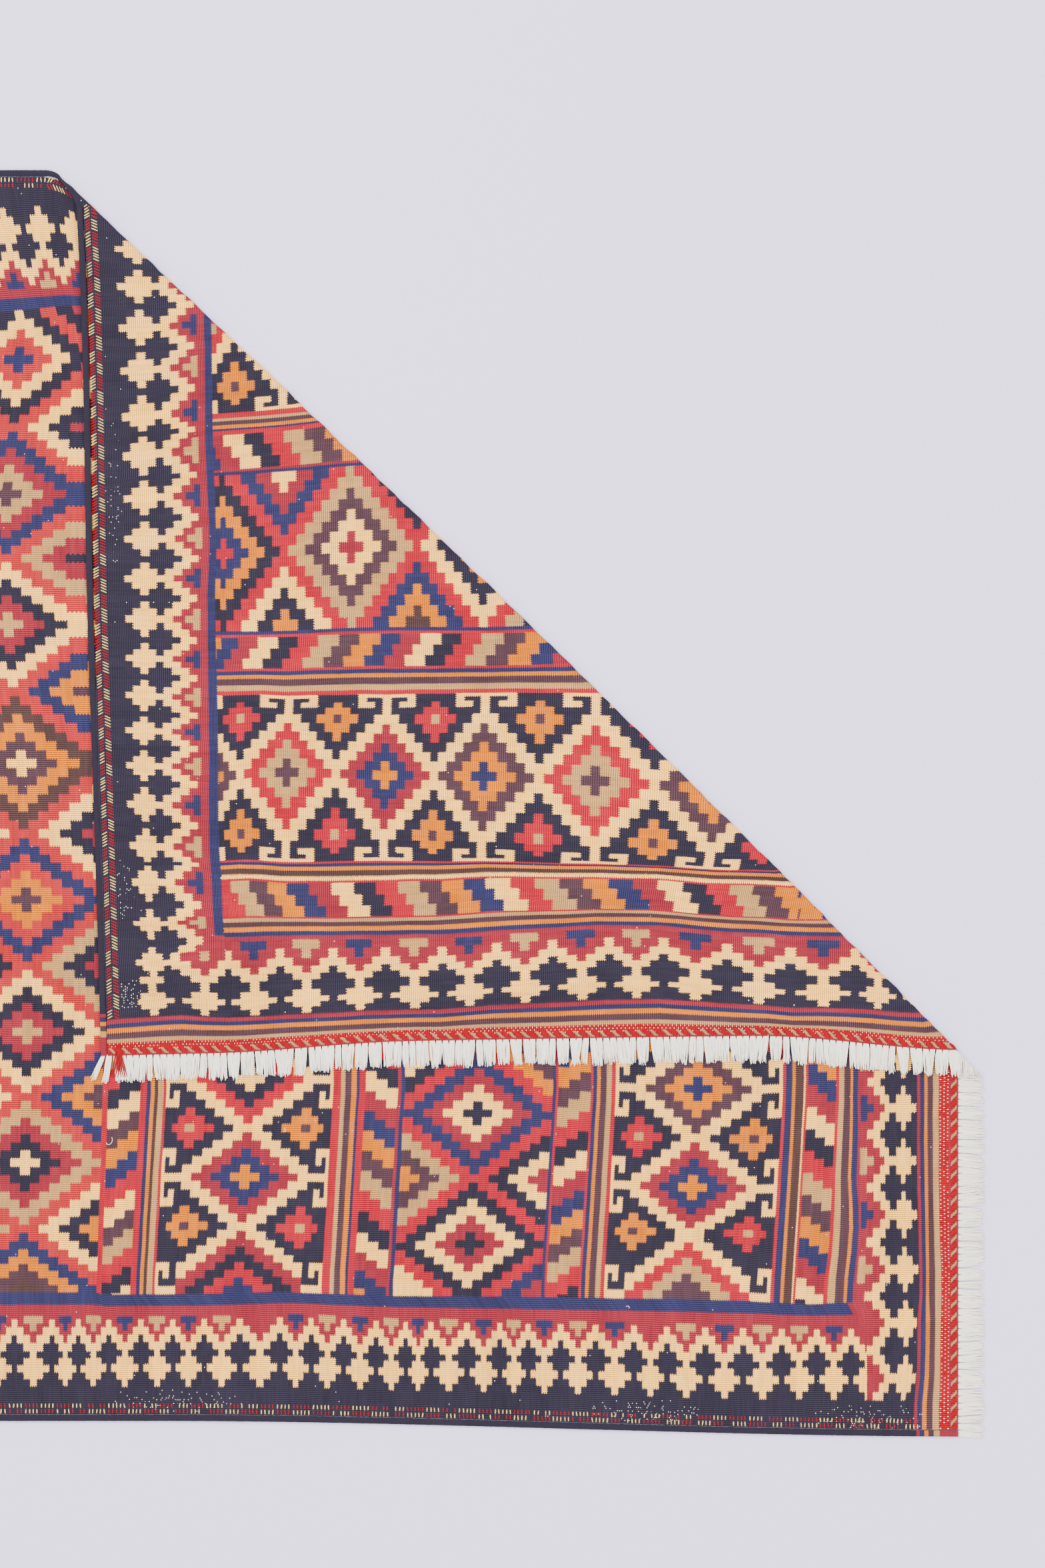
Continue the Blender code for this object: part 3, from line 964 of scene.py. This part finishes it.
def cotton_material(dyes):
    """Undyed cotton warp, plied, with painted shade: some threads are tinted darker as shade
    between the threads, and the plies' grooves are darker.
    """
    g = Graph("fringe_cotton")
    along, twist = g.twist(g.add("ShaderNodeUVMap", {"uv_map": "strand"}), (0.0016, 2.0))
    patch = g.grain(g.vector(along * 9.0), (1, 1, 1), 1.0)
    # Painted shade: stretches of some threads take the darker fringe shade colour, standing in for
    # the shade between the threads
    shaded_threads = g.blend((patch * 2.4 - 0.8).math("MAXIMUM", 0.0), (*dyes.fringe, 1.0),
                     (*dyes.fringe_shade, 1.0))
    # Painted shade: twist darkens the grooves between the plies
    return g.finish(g.tint(shaded_threads, 0.94 + twist * 0.08), twist, 0.0002, 0.9)


def floor_material(stage):
    g = Graph("studio_floor")
    grain = g.grain(g.add("ShaderNodeTexCoord", None, None, 3), (60, 60, 60))
    return g.finish(g.tint(tuple(stage.floor), 0.99 + grain * 0.02), grain, 0.00002, 0.95)


# ---- making pieces

def start_clean():
    """Nothing selected, so that an operator acts on the new piece alone."""
    if bpy.context.object and bpy.context.object.mode != "OBJECT":
        bpy.ops.object.mode_set(mode="OBJECT")
    bpy.ops.object.select_all(action="DESELECT")


def link_piece(name, mesh, material, slot, *replaced):
    """Puts a finished mesh in the scene as a piece of the rug."""
    mesh.materials.append(material)
    piece = bpy.data.objects.new(name, mesh)
    bpy.context.scene.collection.objects.link(piece)
    start_clean()
    piece.select_set(True)
    bpy.context.view_layer.objects.active = piece
    bpy.ops.object.shade_smooth_by_angle(angle=math.radians(50))
    piece.select_set(False)
    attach(piece, "root")
    if replaced:
        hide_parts(*replaced)


class Strands:
    """Closed tubes of yarn, gathered in one mesh."""

    def __init__(self):
        self.points, self.faces, self.yarns, self.uvs = [], [], [], []

    def tube(self, rings, yarn, along):
        """rings are lists of points, and along is how far each ring is down the strand."""
        base, sides = len(self.points), len(rings[0])
        for ring in rings:
            self.points += ring
        yarns = yarn if isinstance(yarn, list) else [yarn] * (len(rings) - 1)
        for i in range(len(rings) - 1):
            for k in range(sides):
                m = (k + 1) % sides
                a, b = base + i * sides, base + (i + 1) * sides
                self.faces.append((a + k, a + m, b + m, b + k))
                turn0, turn1 = k / sides, (k + 1) / sides
                self.uvs += [(along[i], turn0), (along[i], turn1), (along[i + 1], turn1),
                             (along[i + 1], turn0)]
                self.yarns.append(YARNS.index(yarns[i]))
        for ring_at, yarn_at in ((0, yarns[0]), (len(rings) - 1, yarns[-1])):
            first = base + ring_at * sides
            cap = [first + k for k in range(sides)]
            self.faces.append(tuple(reversed(cap)) if ring_at == 0 else tuple(cap))
            self.uvs += [(along[ring_at], k / sides) for k in range(sides)]
            self.yarns.append(YARNS.index(yarn_at))

    def rug_tube(self, path, widths, yarn, sides, flatness=1.0, run=0.0):
        """A tube along (u, v, height) points on the rug, with a half width at each."""
        rings, along = [], []
        for i, (u, v, height) in enumerate(path):
            before, after = path[max(i - 1, 0)], path[min(i + 1, len(path) - 1)]
            du, dv = after[0] - before[0], after[1] - before[1]
            size = math.hypot(du, dv) or 1.0
            nu, nv = -dv / size, du / size
            if i:
                run += math.dist(path[i - 1], path[i])
            along.append(run)
            ring = []
            for k in range(sides):
                turn = math.tau * (k + 0.5) / sides
                reach, rise = widths[i] * math.cos(turn), widths[i] * flatness * math.sin(turn)
                ring.append(rug_point(u + nu * reach, v + nv * reach, height + rise))
            rings.append(ring)
        self.tube(rings, yarn, along)

    def piece(self, name, material, slot, *replaced):
        mesh = bpy.data.meshes.new(name)
        mesh.from_pydata(self.points, [], self.faces)
        mesh.uv_layers.new(name="strand").data.foreach_set(
            "uv", [value for uv in self.uvs for value in uv])
        mesh.attributes.new("yarn", "FLOAT", "FACE").data.foreach_set("value", self.yarns)
        bm = bmesh.new()
        bm.from_mesh(mesh)
        bmesh.ops.recalc_face_normals(bm, faces=bm.faces[:])
        bm.to_mesh(mesh)
        bm.free()
        link_piece(name, mesh, material, slot, *replaced)


def stripe_at(s):
    """The yarn of the end stripe at s millimetres from an end, navy past them."""
    for end, yarn in END_STRIPES:
        if s < end + 2:
            return "m" if yarn == "e" else yarn
    return "n"


# ---- settings

def number_prop(name, text, default, low=0.0, **more):
    return bpy.props.FloatProperty(name=name, description=text, default=default, min=low, **more)


def size_prop(name, text, default):
    return number_prop(name, text, default, precision=5, unit="LENGTH")


def share_prop(name, text, default):
    return number_prop(name, text, default, max=2.0, subtype="FACTOR")


def colour_prop(name, text, *default):
    return bpy.props.FloatVectorProperty(name=name, description=text, default=linear(*default),
                                         size=3, min=0.0, max=1.0, subtype="COLOR")


class KilimWeave(bpy.types.PropertyGroup):
    """The weave of the cloth."""

    rib_pitch: size_prop("Rib pitch", "From one warp rib to the next", 0.00245)
    rib_depth: size_prop("Rib depth", "Height of the relief of the ribs", 0.0007)
    tooth: size_prop("Tooth", "How far the beaded edge of a colour steps", 0.0026)
    # How strongly painted shade darkens the grooves between the ribs
    groove_shade: share_prop("Groove", "How dark the grooves between the ribs are", 0.95)
    streaks: share_prop("Streaks", "How uneven the dyeing is", 1.1)
    wear: share_prop("Wear", "How much of the white warp shows where it is worn", 1.0)


class KilimDyes(bpy.types.PropertyGroup):
    """The colours of the yarns."""

    navy: colour_prop("Navy", "The dark ground", 41, 37, 49)
    blue: colour_prop("Blue", "Mid blue", 44, 43, 74)
    madder: colour_prop("Madder", "Dull red", 131, 38, 49)
    red: colour_prop("Red", "Bright red", 160, 29, 43)
    salmon: colour_prop("Salmon", "The lattice of the main field", 166, 43, 45)
    cream: colour_prop("Cream", "Undyed wool", 248, 183, 88)
    grey: colour_prop("Grey", "Greyish tan", 171, 127, 78)
    purple: colour_prop("Purple", "Dusty purple", 70, 48, 55)
    orange: colour_prop("Orange", "Soft orange", 194, 103, 18)
    brown: colour_prop("Brown", "Grey brown", 69, 49, 47)
    white: colour_prop("White", "Bare warp", 246, 240, 226)
    pale: colour_prop("Pale", "The pale stitches of the edges", 222, 186, 98)
    scarlet: colour_prop("Scarlet", "The end bands and the red stitches", 150, 12, 24)
    fringe: colour_prop("Fringe", "Cotton", 255, 250, 236)
    # The darker colour painted on some fringe threads, as painted shade between the threads
    fringe_shade: colour_prop("Fringe shade", "Grubby cotton", 222, 212, 196)


class KilimEdges(bpy.types.PropertyGroup):
    """The finishing of the edges."""

    wrap_pitch: size_prop("Wrap pitch", "From one turn of the overcasting to the next", 0.0034)
    wrap_relief: share_prop("Wrap relief", "How far the turns stand out", 0.07)
    stitch_pitch: size_prop("Stitch pitch", "From one edge stitch to the next", 0.00375)
    twist_pitch: size_prop("Twist pitch", "A full turn of the twined ends", 0.0165)
    fringe_length: size_prop("Fringe length", "Of the longest strand", 0.0365)
    threads: bpy.props.IntProperty(name="Threads", description="Threads in a lock of the fringe",
                                   default=8, min=3, max=12)


class KilimStage(bpy.types.PropertyGroup):
    """The floor, the light and the camera."""

    floor: colour_prop("Floor", "The studio floor", 220, 211, 243)
    key_power: number_prop("Key light", "Power of the large light", 350.0, unit="POWER")
    fill_power: number_prop("Fill light", "Power of the fill light", 205.0, unit="POWER")
    sky: share_prop("Sky", "Strength of the even light all round", 2.0)
    lens: number_prop("Lens", "Focal length in millimetres", 100.0, 10.0)


# ---- operators

class KILIM_OT_weave(bpy.types.Operator):
    """Weaves the cloth with its pattern and folds its corner over"""

    bl_idname = "kilim.weave"
    bl_label = "Weave the cloth"

    def execute(self, context):
        bm, flat_u, flat_v = weave_mesh()
        arc = math.pi * ROLL_RADIUS
        for i in range(ROLL_STEPS + 1):
            geometry = bm.verts[:] + bm.edges[:] + bm.faces[:]
            bmesh.ops.bisect_plane(bm, geom=geometry, dist=1e-6,
                                   plane_co=(0, arc * i / ROLL_STEPS, 0), plane_no=(0, 1, 0))
        for vert in bm.verts:
            vert.co.z = -THICKNESS / 2
        raised = bmesh.ops.extrude_face_region(bm, geom=bm.faces[:], use_keep_orig=True)["geom"]
        for item in raised:
            if isinstance(item, bmesh.types.BMVert):
                item.co.z = THICKNESS / 2
        for vert in bm.verts:
            vert.co = fold(*vert.co, vert[flat_u], vert[flat_v])
        bmesh.ops.recalc_face_normals(bm, faces=bm.faces[:])
        mesh = bpy.data.meshes.new("woven_cloth")
        bm.to_mesh(mesh)
        bm.free()
        link_piece("woven_cloth", mesh, woven_material(context.scene.kilim_weave,
                                                       context.scene.kilim_dyes),
                   "woven_wool", "rug_cloth")
        return {"FINISHED"}


# What the camera sees, from straight above
VIEW_MIDDLE, VIEW_WIDTH, SENSOR = (0.9395, 0.0245), 2.0, 36.0
SIDES = 8  # of a tube
# For the edge stitches, how far in from the cord each row lies and how long it is
STITCHES_FLAT = ((0.0037, 0.0072), (0.0109, 0.0068))
STITCHES_FOLDED = ((0.0041, 0.0077), (0.0127, 0.0092))
STITCH_START, STITCH_HEIGHT = 0.048, 0.0020
STITCHES_MISSING = 0.10
# The twining's yarns, with half width and where on its turn each starts
TWINES = (("e", 0.0025, 0.0), ("g", 0.0010, 2.8), ("g", 0.0008, 3.6))
TWINE_SWING, TWINE_RISE = 0.0032, 0.0011
# The locks of the fringe
PITCH, HIDDEN_PITCH, FOLD_PITCH = 0.0086, 0.0133, 0.0030
END_GAP = 0.0010
# Loose ends on the cloth: distance from the end, v, length and yarn
ENDS = ((1.086, 0.355, 0.010, "w"), (0.86, 0.372, 0.004, "w"), (0.42, 0.158, 0.004, "w"),
        (0.205, 0.128, 0.005, "c"), (0.66, 0.131, 0.003, "w"))
TUFT_V, TUFT_THREADS = 1.572, 8


def cord_tube(edges, edge_v, outward):
    """A cord along a long edge, with the turns of its wrapping."""
    us = steps(0.0, LENGTH, edges.wrap_pitch / 4)
    rng = random.Random(11)
    edge = [place(u, edge_v) for u in us]
    centre, corner = CORD_GAP + CORD_WIDTH / 2, math.cos(math.pi / SIDES)
    rings, yarns = [], []
    for i, u in enumerate(us):
        ax, ay = edge[max(i - 4, 0)]
        bx, by = edge[min(i + 4, len(us) - 1)]
        run = math.hypot(bx - ax, by - ay)
        nx, ny = -outward * (by - ay) / run, outward * (bx - ax) / run
        _, across = to_fold(edge[i][0] + nx * centre, edge[i][1] + ny * centre)
        lift = (CORD_HEIGHT - THICKNESS) / 2 * (1 - ease(across / (math.pi * ROLL_RADIUS)))
        if i % 4 == 0:
            size = rng.uniform(0.95, 1.0)
        ring = []
        for k in range(SIDES):
            turn = math.tau * (k + 0.5) / SIDES
            phase = u / edges.wrap_pitch + 0.35 * math.cos(turn)
            wrap = size * (1 + edges.wrap_relief * (abs(math.sin(math.pi * phase)) - 0.75))
            reach = centre + wrap * CORD_WIDTH / 2 * math.cos(turn) / corner
            rise = wrap * CORD_HEIGHT / 2 * math.sin(turn) / corner
            along, across = to_fold(edge[i][0] + nx * reach, edge[i][1] + ny * reach)
            ring.append(fold(along, across, lift + rise, u, edge_v))
        rings.append(ring if outward > 0 else ring[::-1])
        yarns.append(stripe_at(1000 * min(u, LENGTH - u)))
    strands = Strands()
    strands.tube(rings, yarns[:-1], us)
    return strands


class KILIM_OT_overcast(bpy.types.Operator):
    """Overcasts a cord along each long edge"""

    bl_idname = "kilim.overcast"
    bl_label = "Overcast the long edges"

    def execute(self, context):
        edges = context.scene.kilim_edges
        material = yarn_material("cord_wool", context.scene.kilim_dyes, 0.0011)
        for name, node, edge_v, outward in (
                ("cord_near", "selvedge_near", INSET, -1),
                ("cord_far", "selvedge_far", WIDTH - INSET, 1)):
            cord_tube(edges, edge_v, outward).piece(name, material, "cord_wool", node)
        return {"FINISHED"}


class KILIM_OT_stitch(bpy.types.Operator):
    """Sews two rows of coloured stitches inside each long edge"""

    bl_idname = "kilim.stitch"
    bl_label = "Stitch the long edges"

    def execute(self, context):
        edges = context.scene.kilim_edges
        material = yarn_material("stitch_wool", context.scene.kilim_dyes, 0.0012)
        for name, far in (("stitches_near", False), ("stitches_far", True)):
            rng = random.Random(21 + far)
            strands = Strands()
            u, left, red = STITCH_START, 0, True
            while u < LENGTH - STITCH_START:
                if left == 0:
                    left, red = rng.randint(4, 5), not red
                    gap = rng.uniform(0.0004, 0.0016)
                left -= 1
                folded = to_fold(*place(u, WIDTH if far else 0.0))[1] > 0
                for row, (inward, length) in enumerate(
                        STITCHES_FOLDED if folded else STITCHES_FLAT):
                    v = WIDTH - INSET - inward if far else INSET + inward
                    yarn = "e" if red == (row == 0) else "l"
                    if not folded and rng.random() < STITCHES_MISSING:
                        continue
                    slant = (0.0021 if row == 0 else -0.0024) if folded else rng.gauss(0, 0.0003)
                    half = length / 2 * rng.uniform(0.92, 1.08)
                    width = 0.0014 if folded else rng.uniform(0.0012, 0.0016)
                    middle = u + rng.gauss(0, 0.0002)
                    path = [(middle + slant * t, v + half * t, 0.0)
                            for t in (-1, -0.75, 0, 0.75, 1)]
                    widths = [share * width for share in (0.45, 0.85, 1, 0.85, 0.45)]
                    strands.rug_tube(path, widths, yarn, SIDES, STITCH_HEIGHT / width)
                u += edges.stitch_pitch if folded else 1.28 * edges.stitch_pitch
                u += gap if left == 0 else 0.0
            strands.piece(name, material, "cord_wool")
        return {"FINISHED"}


class KILIM_OT_twine(bpy.types.Operator):
    """Twines a row of yarns along each end"""

    bl_idname = "kilim.twine"
    bl_label = "Twine the ends"

    def execute(self, context):
        pitch = context.scene.kilim_edges.twist_pitch
        material = yarn_material("twined_wool", context.scene.kilim_dyes, 0.0013)
        for name, end_u, way in (("twining_right", LENGTH, -1), ("twining_left", 0.0, 1)):
            strands = Strands()
            middle = end_u + way * 0.0058
            for yarn, width, start in TWINES:
                path = []
                for v in steps(0.0105, WIDTH - 0.0105, pitch / 10):
                    slip = 0.002 * noise.noise(Vector((v * 40, 0, 0)))
                    turn = start - math.tau * (v + slip) / pitch
                    side = mix(0.0009, -0.0009, ease(to_fold(*place(end_u, v))[1] / 0.012))
                    path.append((middle + TWINE_SWING * math.cos(turn), v,
                                 side + TWINE_RISE * math.sin(turn)))
                strands.rug_tube(path, [width] * len(path), yarn, SIDES,
                                 min(1.0, 0.0013 / width))
            strands.piece(name, material, "cord_wool")
        return {"FINISHED"}


def strand_stations(start, end, pitch):
    """The edges of the locks' roots, closer together where the end turns over the fold."""
    stations = [start]
    while stations[-1] < end:
        across = to_fold(*place(LENGTH, stations[-1]))[1]
        on_roll = -0.002 < across < math.pi * ROLL_RADIUS
        stations.append(stations[-1] + (FOLD_PITCH if on_roll else pitch))
    if end - stations[-2] < pitch / 2:
        stations.pop()
    stations[-1] = end
    return stations


def fold_station():
    """How far along the end the fold's roll starts."""
    v = 0.0
    while to_fold(*place(LENGTH + 0.003, v))[1] < -0.004:
        v += 0.0005
    return v


class KILIM_OT_fringe(bpy.types.Operator):
    """Lets the warps hang out at both ends as a fringe of threads"""

    bl_idname = "kilim.fringe"
    bl_label = "Fringe the ends"

    def execute(self, context):
        edges = context.scene.kilim_edges
        material = cotton_material(context.scene.kilim_dyes)
        turn_v = fold_station()
        for name, node, end_u, way, stations, seed in (
                ("threads_right", "fringe_right", LENGTH, 1,
                 strand_stations(0.0, turn_v, PITCH), 3),
                ("threads_flap", "fringe_flap", LENGTH, 1,
                 strand_stations(turn_v + END_GAP, WIDTH, PITCH), 5),
                ("threads_left", "fringe_left", 0.0, -1,
                 strand_stations(0.0, WIDTH, HIDDEN_PITCH), 7)):
            rng = random.Random(seed)
            strands = Strands()
            for low, high in pairs(stations):
                self.lock(strands, rng, edges, end_u, way, low, high)
            strands.piece(name, material, "fringe_cotton", node)
        return {"FINISHED"}

    def lock(self, strands, rng, edges, end_u, way, low, high):
        """One lock: threads that leave the cloth side by side and draw together."""
        middle = (low + high) / 2
        length = edges.fringe_length * rng.uniform(0.88, 1.0)
        away = -1.0 if to_fold(*place(end_u, middle))[1] > 0 else 1.0
        lean = rng.gauss(0, 0.0026)
        if away < 0:  # the last lock of the flap sticks out sideways
            lean += 0.015 * ease((middle - WIDTH + 0.022) / 0.022)
        share = (high - low) / PITCH
        hem = [(end_u - way * 0.0004, v, 0.0) for v in steps(low + 0.0010, high - 0.0010, 0.003)]
        strands.rug_tube(hem, [0.0009] + [0.0014] * (len(hem) - 2) + [0.0009], "w", 6)
        for layer, threads in ((0, edges.threads), (1, edges.threads - 2)):
            count = max(2, round(threads * share))
            for i in range(count):
                spot = (i + 0.5) / count - 0.5
                reach = length * rng.uniform(0.90, 1.0) * (1.0 - 0.05 * layer)
                drift, bend = rng.gauss(0, 0.0010), rng.gauss(0, 0.0006)
                rise = away * (rng.uniform(0.0, 0.0007) - 0.0009 * layer)
                path, widths = [], []
                for t in (0.0, 0.06, 0.2, 0.45, 0.72, 1.0):
                    wide = (high - low) * (0.70 + 0.16 * ease(t * 4) + 0.08 * t)
                    v = middle + spot * wide + (lean + drift * t) * t
                    v += bend * math.sin(math.pi * t)
                    path.append((end_u + way * (reach * t - 0.0005), v, rise * ease(t * 4)))
                    widths.append(mix(0.00105, 0.00045, t * t))
                strands.rug_tube(path, widths, "w", 4, 1.0, rng.uniform(0.0, 9.0))


class KILIM_OT_loose(bpy.types.Operator):
    """Adds the loose ends and a worn tuft"""

    bl_idname = "kilim.loose"
    bl_label = "Loose ends"

    def execute(self, context):
        material = yarn_material("loose_wool", context.scene.kilim_dyes, 0.0011)
        rng = random.Random(31)
        strands = Strands()
        for i in range(TUFT_THREADS):  # the red ends at the folded corner
            fork = (0.0062 if i % 2 else -0.0055) + 0.0011 * (i // 2 - 1.5)
            path = [(LENGTH - 0.014 + 0.0052 * t + rng.gauss(0, 0.0003),
                     TUFT_V + 0.0008 * (i - 3.5) + fork * (t / 8) ** 1.5 + rng.gauss(0, 0.0002),
                     mix(-0.0021, 0.0, ease((t - 4) / 4)) - 0.0012 * ease((t - 2) / 2))
                    for t in range(9)]
            strands.rug_tube(path, [0.0009] * 7 + [0.0007, 0.0004], "e", 5)
        for s, v, size, yarn in ENDS:
            turn = rng.uniform(0, math.tau)
            path = []
            for t in range(8):
                angle = turn + t * 0.35
                path.append((LENGTH - s + size * t / 7 * math.cos(angle),
                             v + size * t / 7 * math.sin(angle), THICKNESS / 2 + 0.0003))
            strands.rug_tube(path, [0.0004] * 8, yarn, 4)
        strands.piece("loose_yarns", material, "cord_wool")
        return {"FINISHED"}


class KILIM_OT_stage(bpy.types.Operator):
    """Lays the floor, hangs the lights and sets the camera"""

    bl_idname = "kilim.stage"
    bl_label = "Set the stage"

    def execute(self, context):
        stage = context.scene.kilim_stage
        start_clean()
        bpy.ops.mesh.primitive_plane_add(size=24.0, location=(0.5, 0.0, -0.0004))
        floor = context.object
        floor.name = "floor"
        bpy.ops.object.transform_apply(location=True, rotation=True, scale=True)
        floor.data.materials.append(floor_material(stage))
        floor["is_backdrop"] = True
        for name, place_at, size, power in (
                ("key_light", (-1.6, 2.4, 4.2), 3.0, stage.key_power),
                ("fill_light", (3.4, -2.2, 4.4), 4.0, stage.fill_power)):
            bpy.ops.object.light_add(type="AREA", location=place_at)
            light = context.object
            light.name = name
            light.data.size = size
            light.data.energy = power
            aim = Vector((0.9, 0.0, 0.0)) - Vector(place_at)
            light.rotation_euler = aim.to_track_quat("-Z", "Y").to_euler()
        world = bpy.data.worlds.new("studio")
        world.use_nodes = True
        background = world.node_tree.nodes["Background"]
        background.inputs["Color"].default_value = (1.0, 1.0, 1.0, 1.0)
        background.inputs["Strength"].default_value = stage.sky
        context.scene.world = world
        start_clean()
        distance = VIEW_WIDTH * stage.lens / SENSOR
        bpy.ops.object.camera_add(location=(*VIEW_MIDDLE, distance), rotation=(0, 0, 0))
        camera = context.object
        camera.name = "camera"
        camera.data.lens = stage.lens
        camera.data.sensor_width = SENSOR
        camera.data.clip_end = 100.0
        context.scene.camera = camera
        return {"FINISHED"}


class KILIM_PT_panel(bpy.types.Panel):
    """The rug's settings and steps"""

    bl_idname = "KILIM_PT_panel"
    bl_label = "Kilim rug"
    bl_space_type = "VIEW_3D"
    bl_region_type = "UI"
    bl_category = "Kilim"

    def draw(self, context):
        for title, group in SETTINGS.items():
            box = self.layout.box()
            box.label(text=group[1])
            settings = getattr(context.scene, title)
            for name in settings.bl_rna.properties.keys():
                if name not in ("rna_type", "name"):
                    box.prop(settings, name)
        for operator in STEPS:
            self.layout.operator(operator.bl_idname)


SETTINGS = {
    "kilim_weave": (KilimWeave, "Weave"),
    "kilim_dyes": (KilimDyes, "Dyes"),
    "kilim_edges": (KilimEdges, "Edges"),
    "kilim_stage": (KilimStage, "Stage"),
}
STEPS = (KILIM_OT_stage, KILIM_OT_weave, KILIM_OT_overcast, KILIM_OT_stitch, KILIM_OT_twine,
         KILIM_OT_fringe, KILIM_OT_loose)
CLASSES = (*(group for group, _ in SETTINGS.values()), *STEPS, KILIM_PT_panel)


def register():
    for cls in CLASSES:
        bpy.utils.register_class(cls)
    for title, (group, _) in SETTINGS.items():
        setattr(bpy.types.Scene, title, bpy.props.PointerProperty(type=group))


def unregister():
    for title in SETTINGS:
        delattr(bpy.types.Scene, title)
    for cls in reversed(CLASSES):
        bpy.utils.unregister_class(cls)


def main():
    register()
    bpy.ops.kilim.stage()
    bpy.ops.kilim.weave()
    bpy.ops.kilim.overcast()
    bpy.ops.kilim.stitch()
    bpy.ops.kilim.twine()
    bpy.ops.kilim.fringe()
    bpy.ops.kilim.loose()
    boxes = {"cad": CAD_BOX, "visual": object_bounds()}
    {key: [list(corner) for corner in box] for key, box in boxes.items()}


if __name__ == "__main__":
    main()
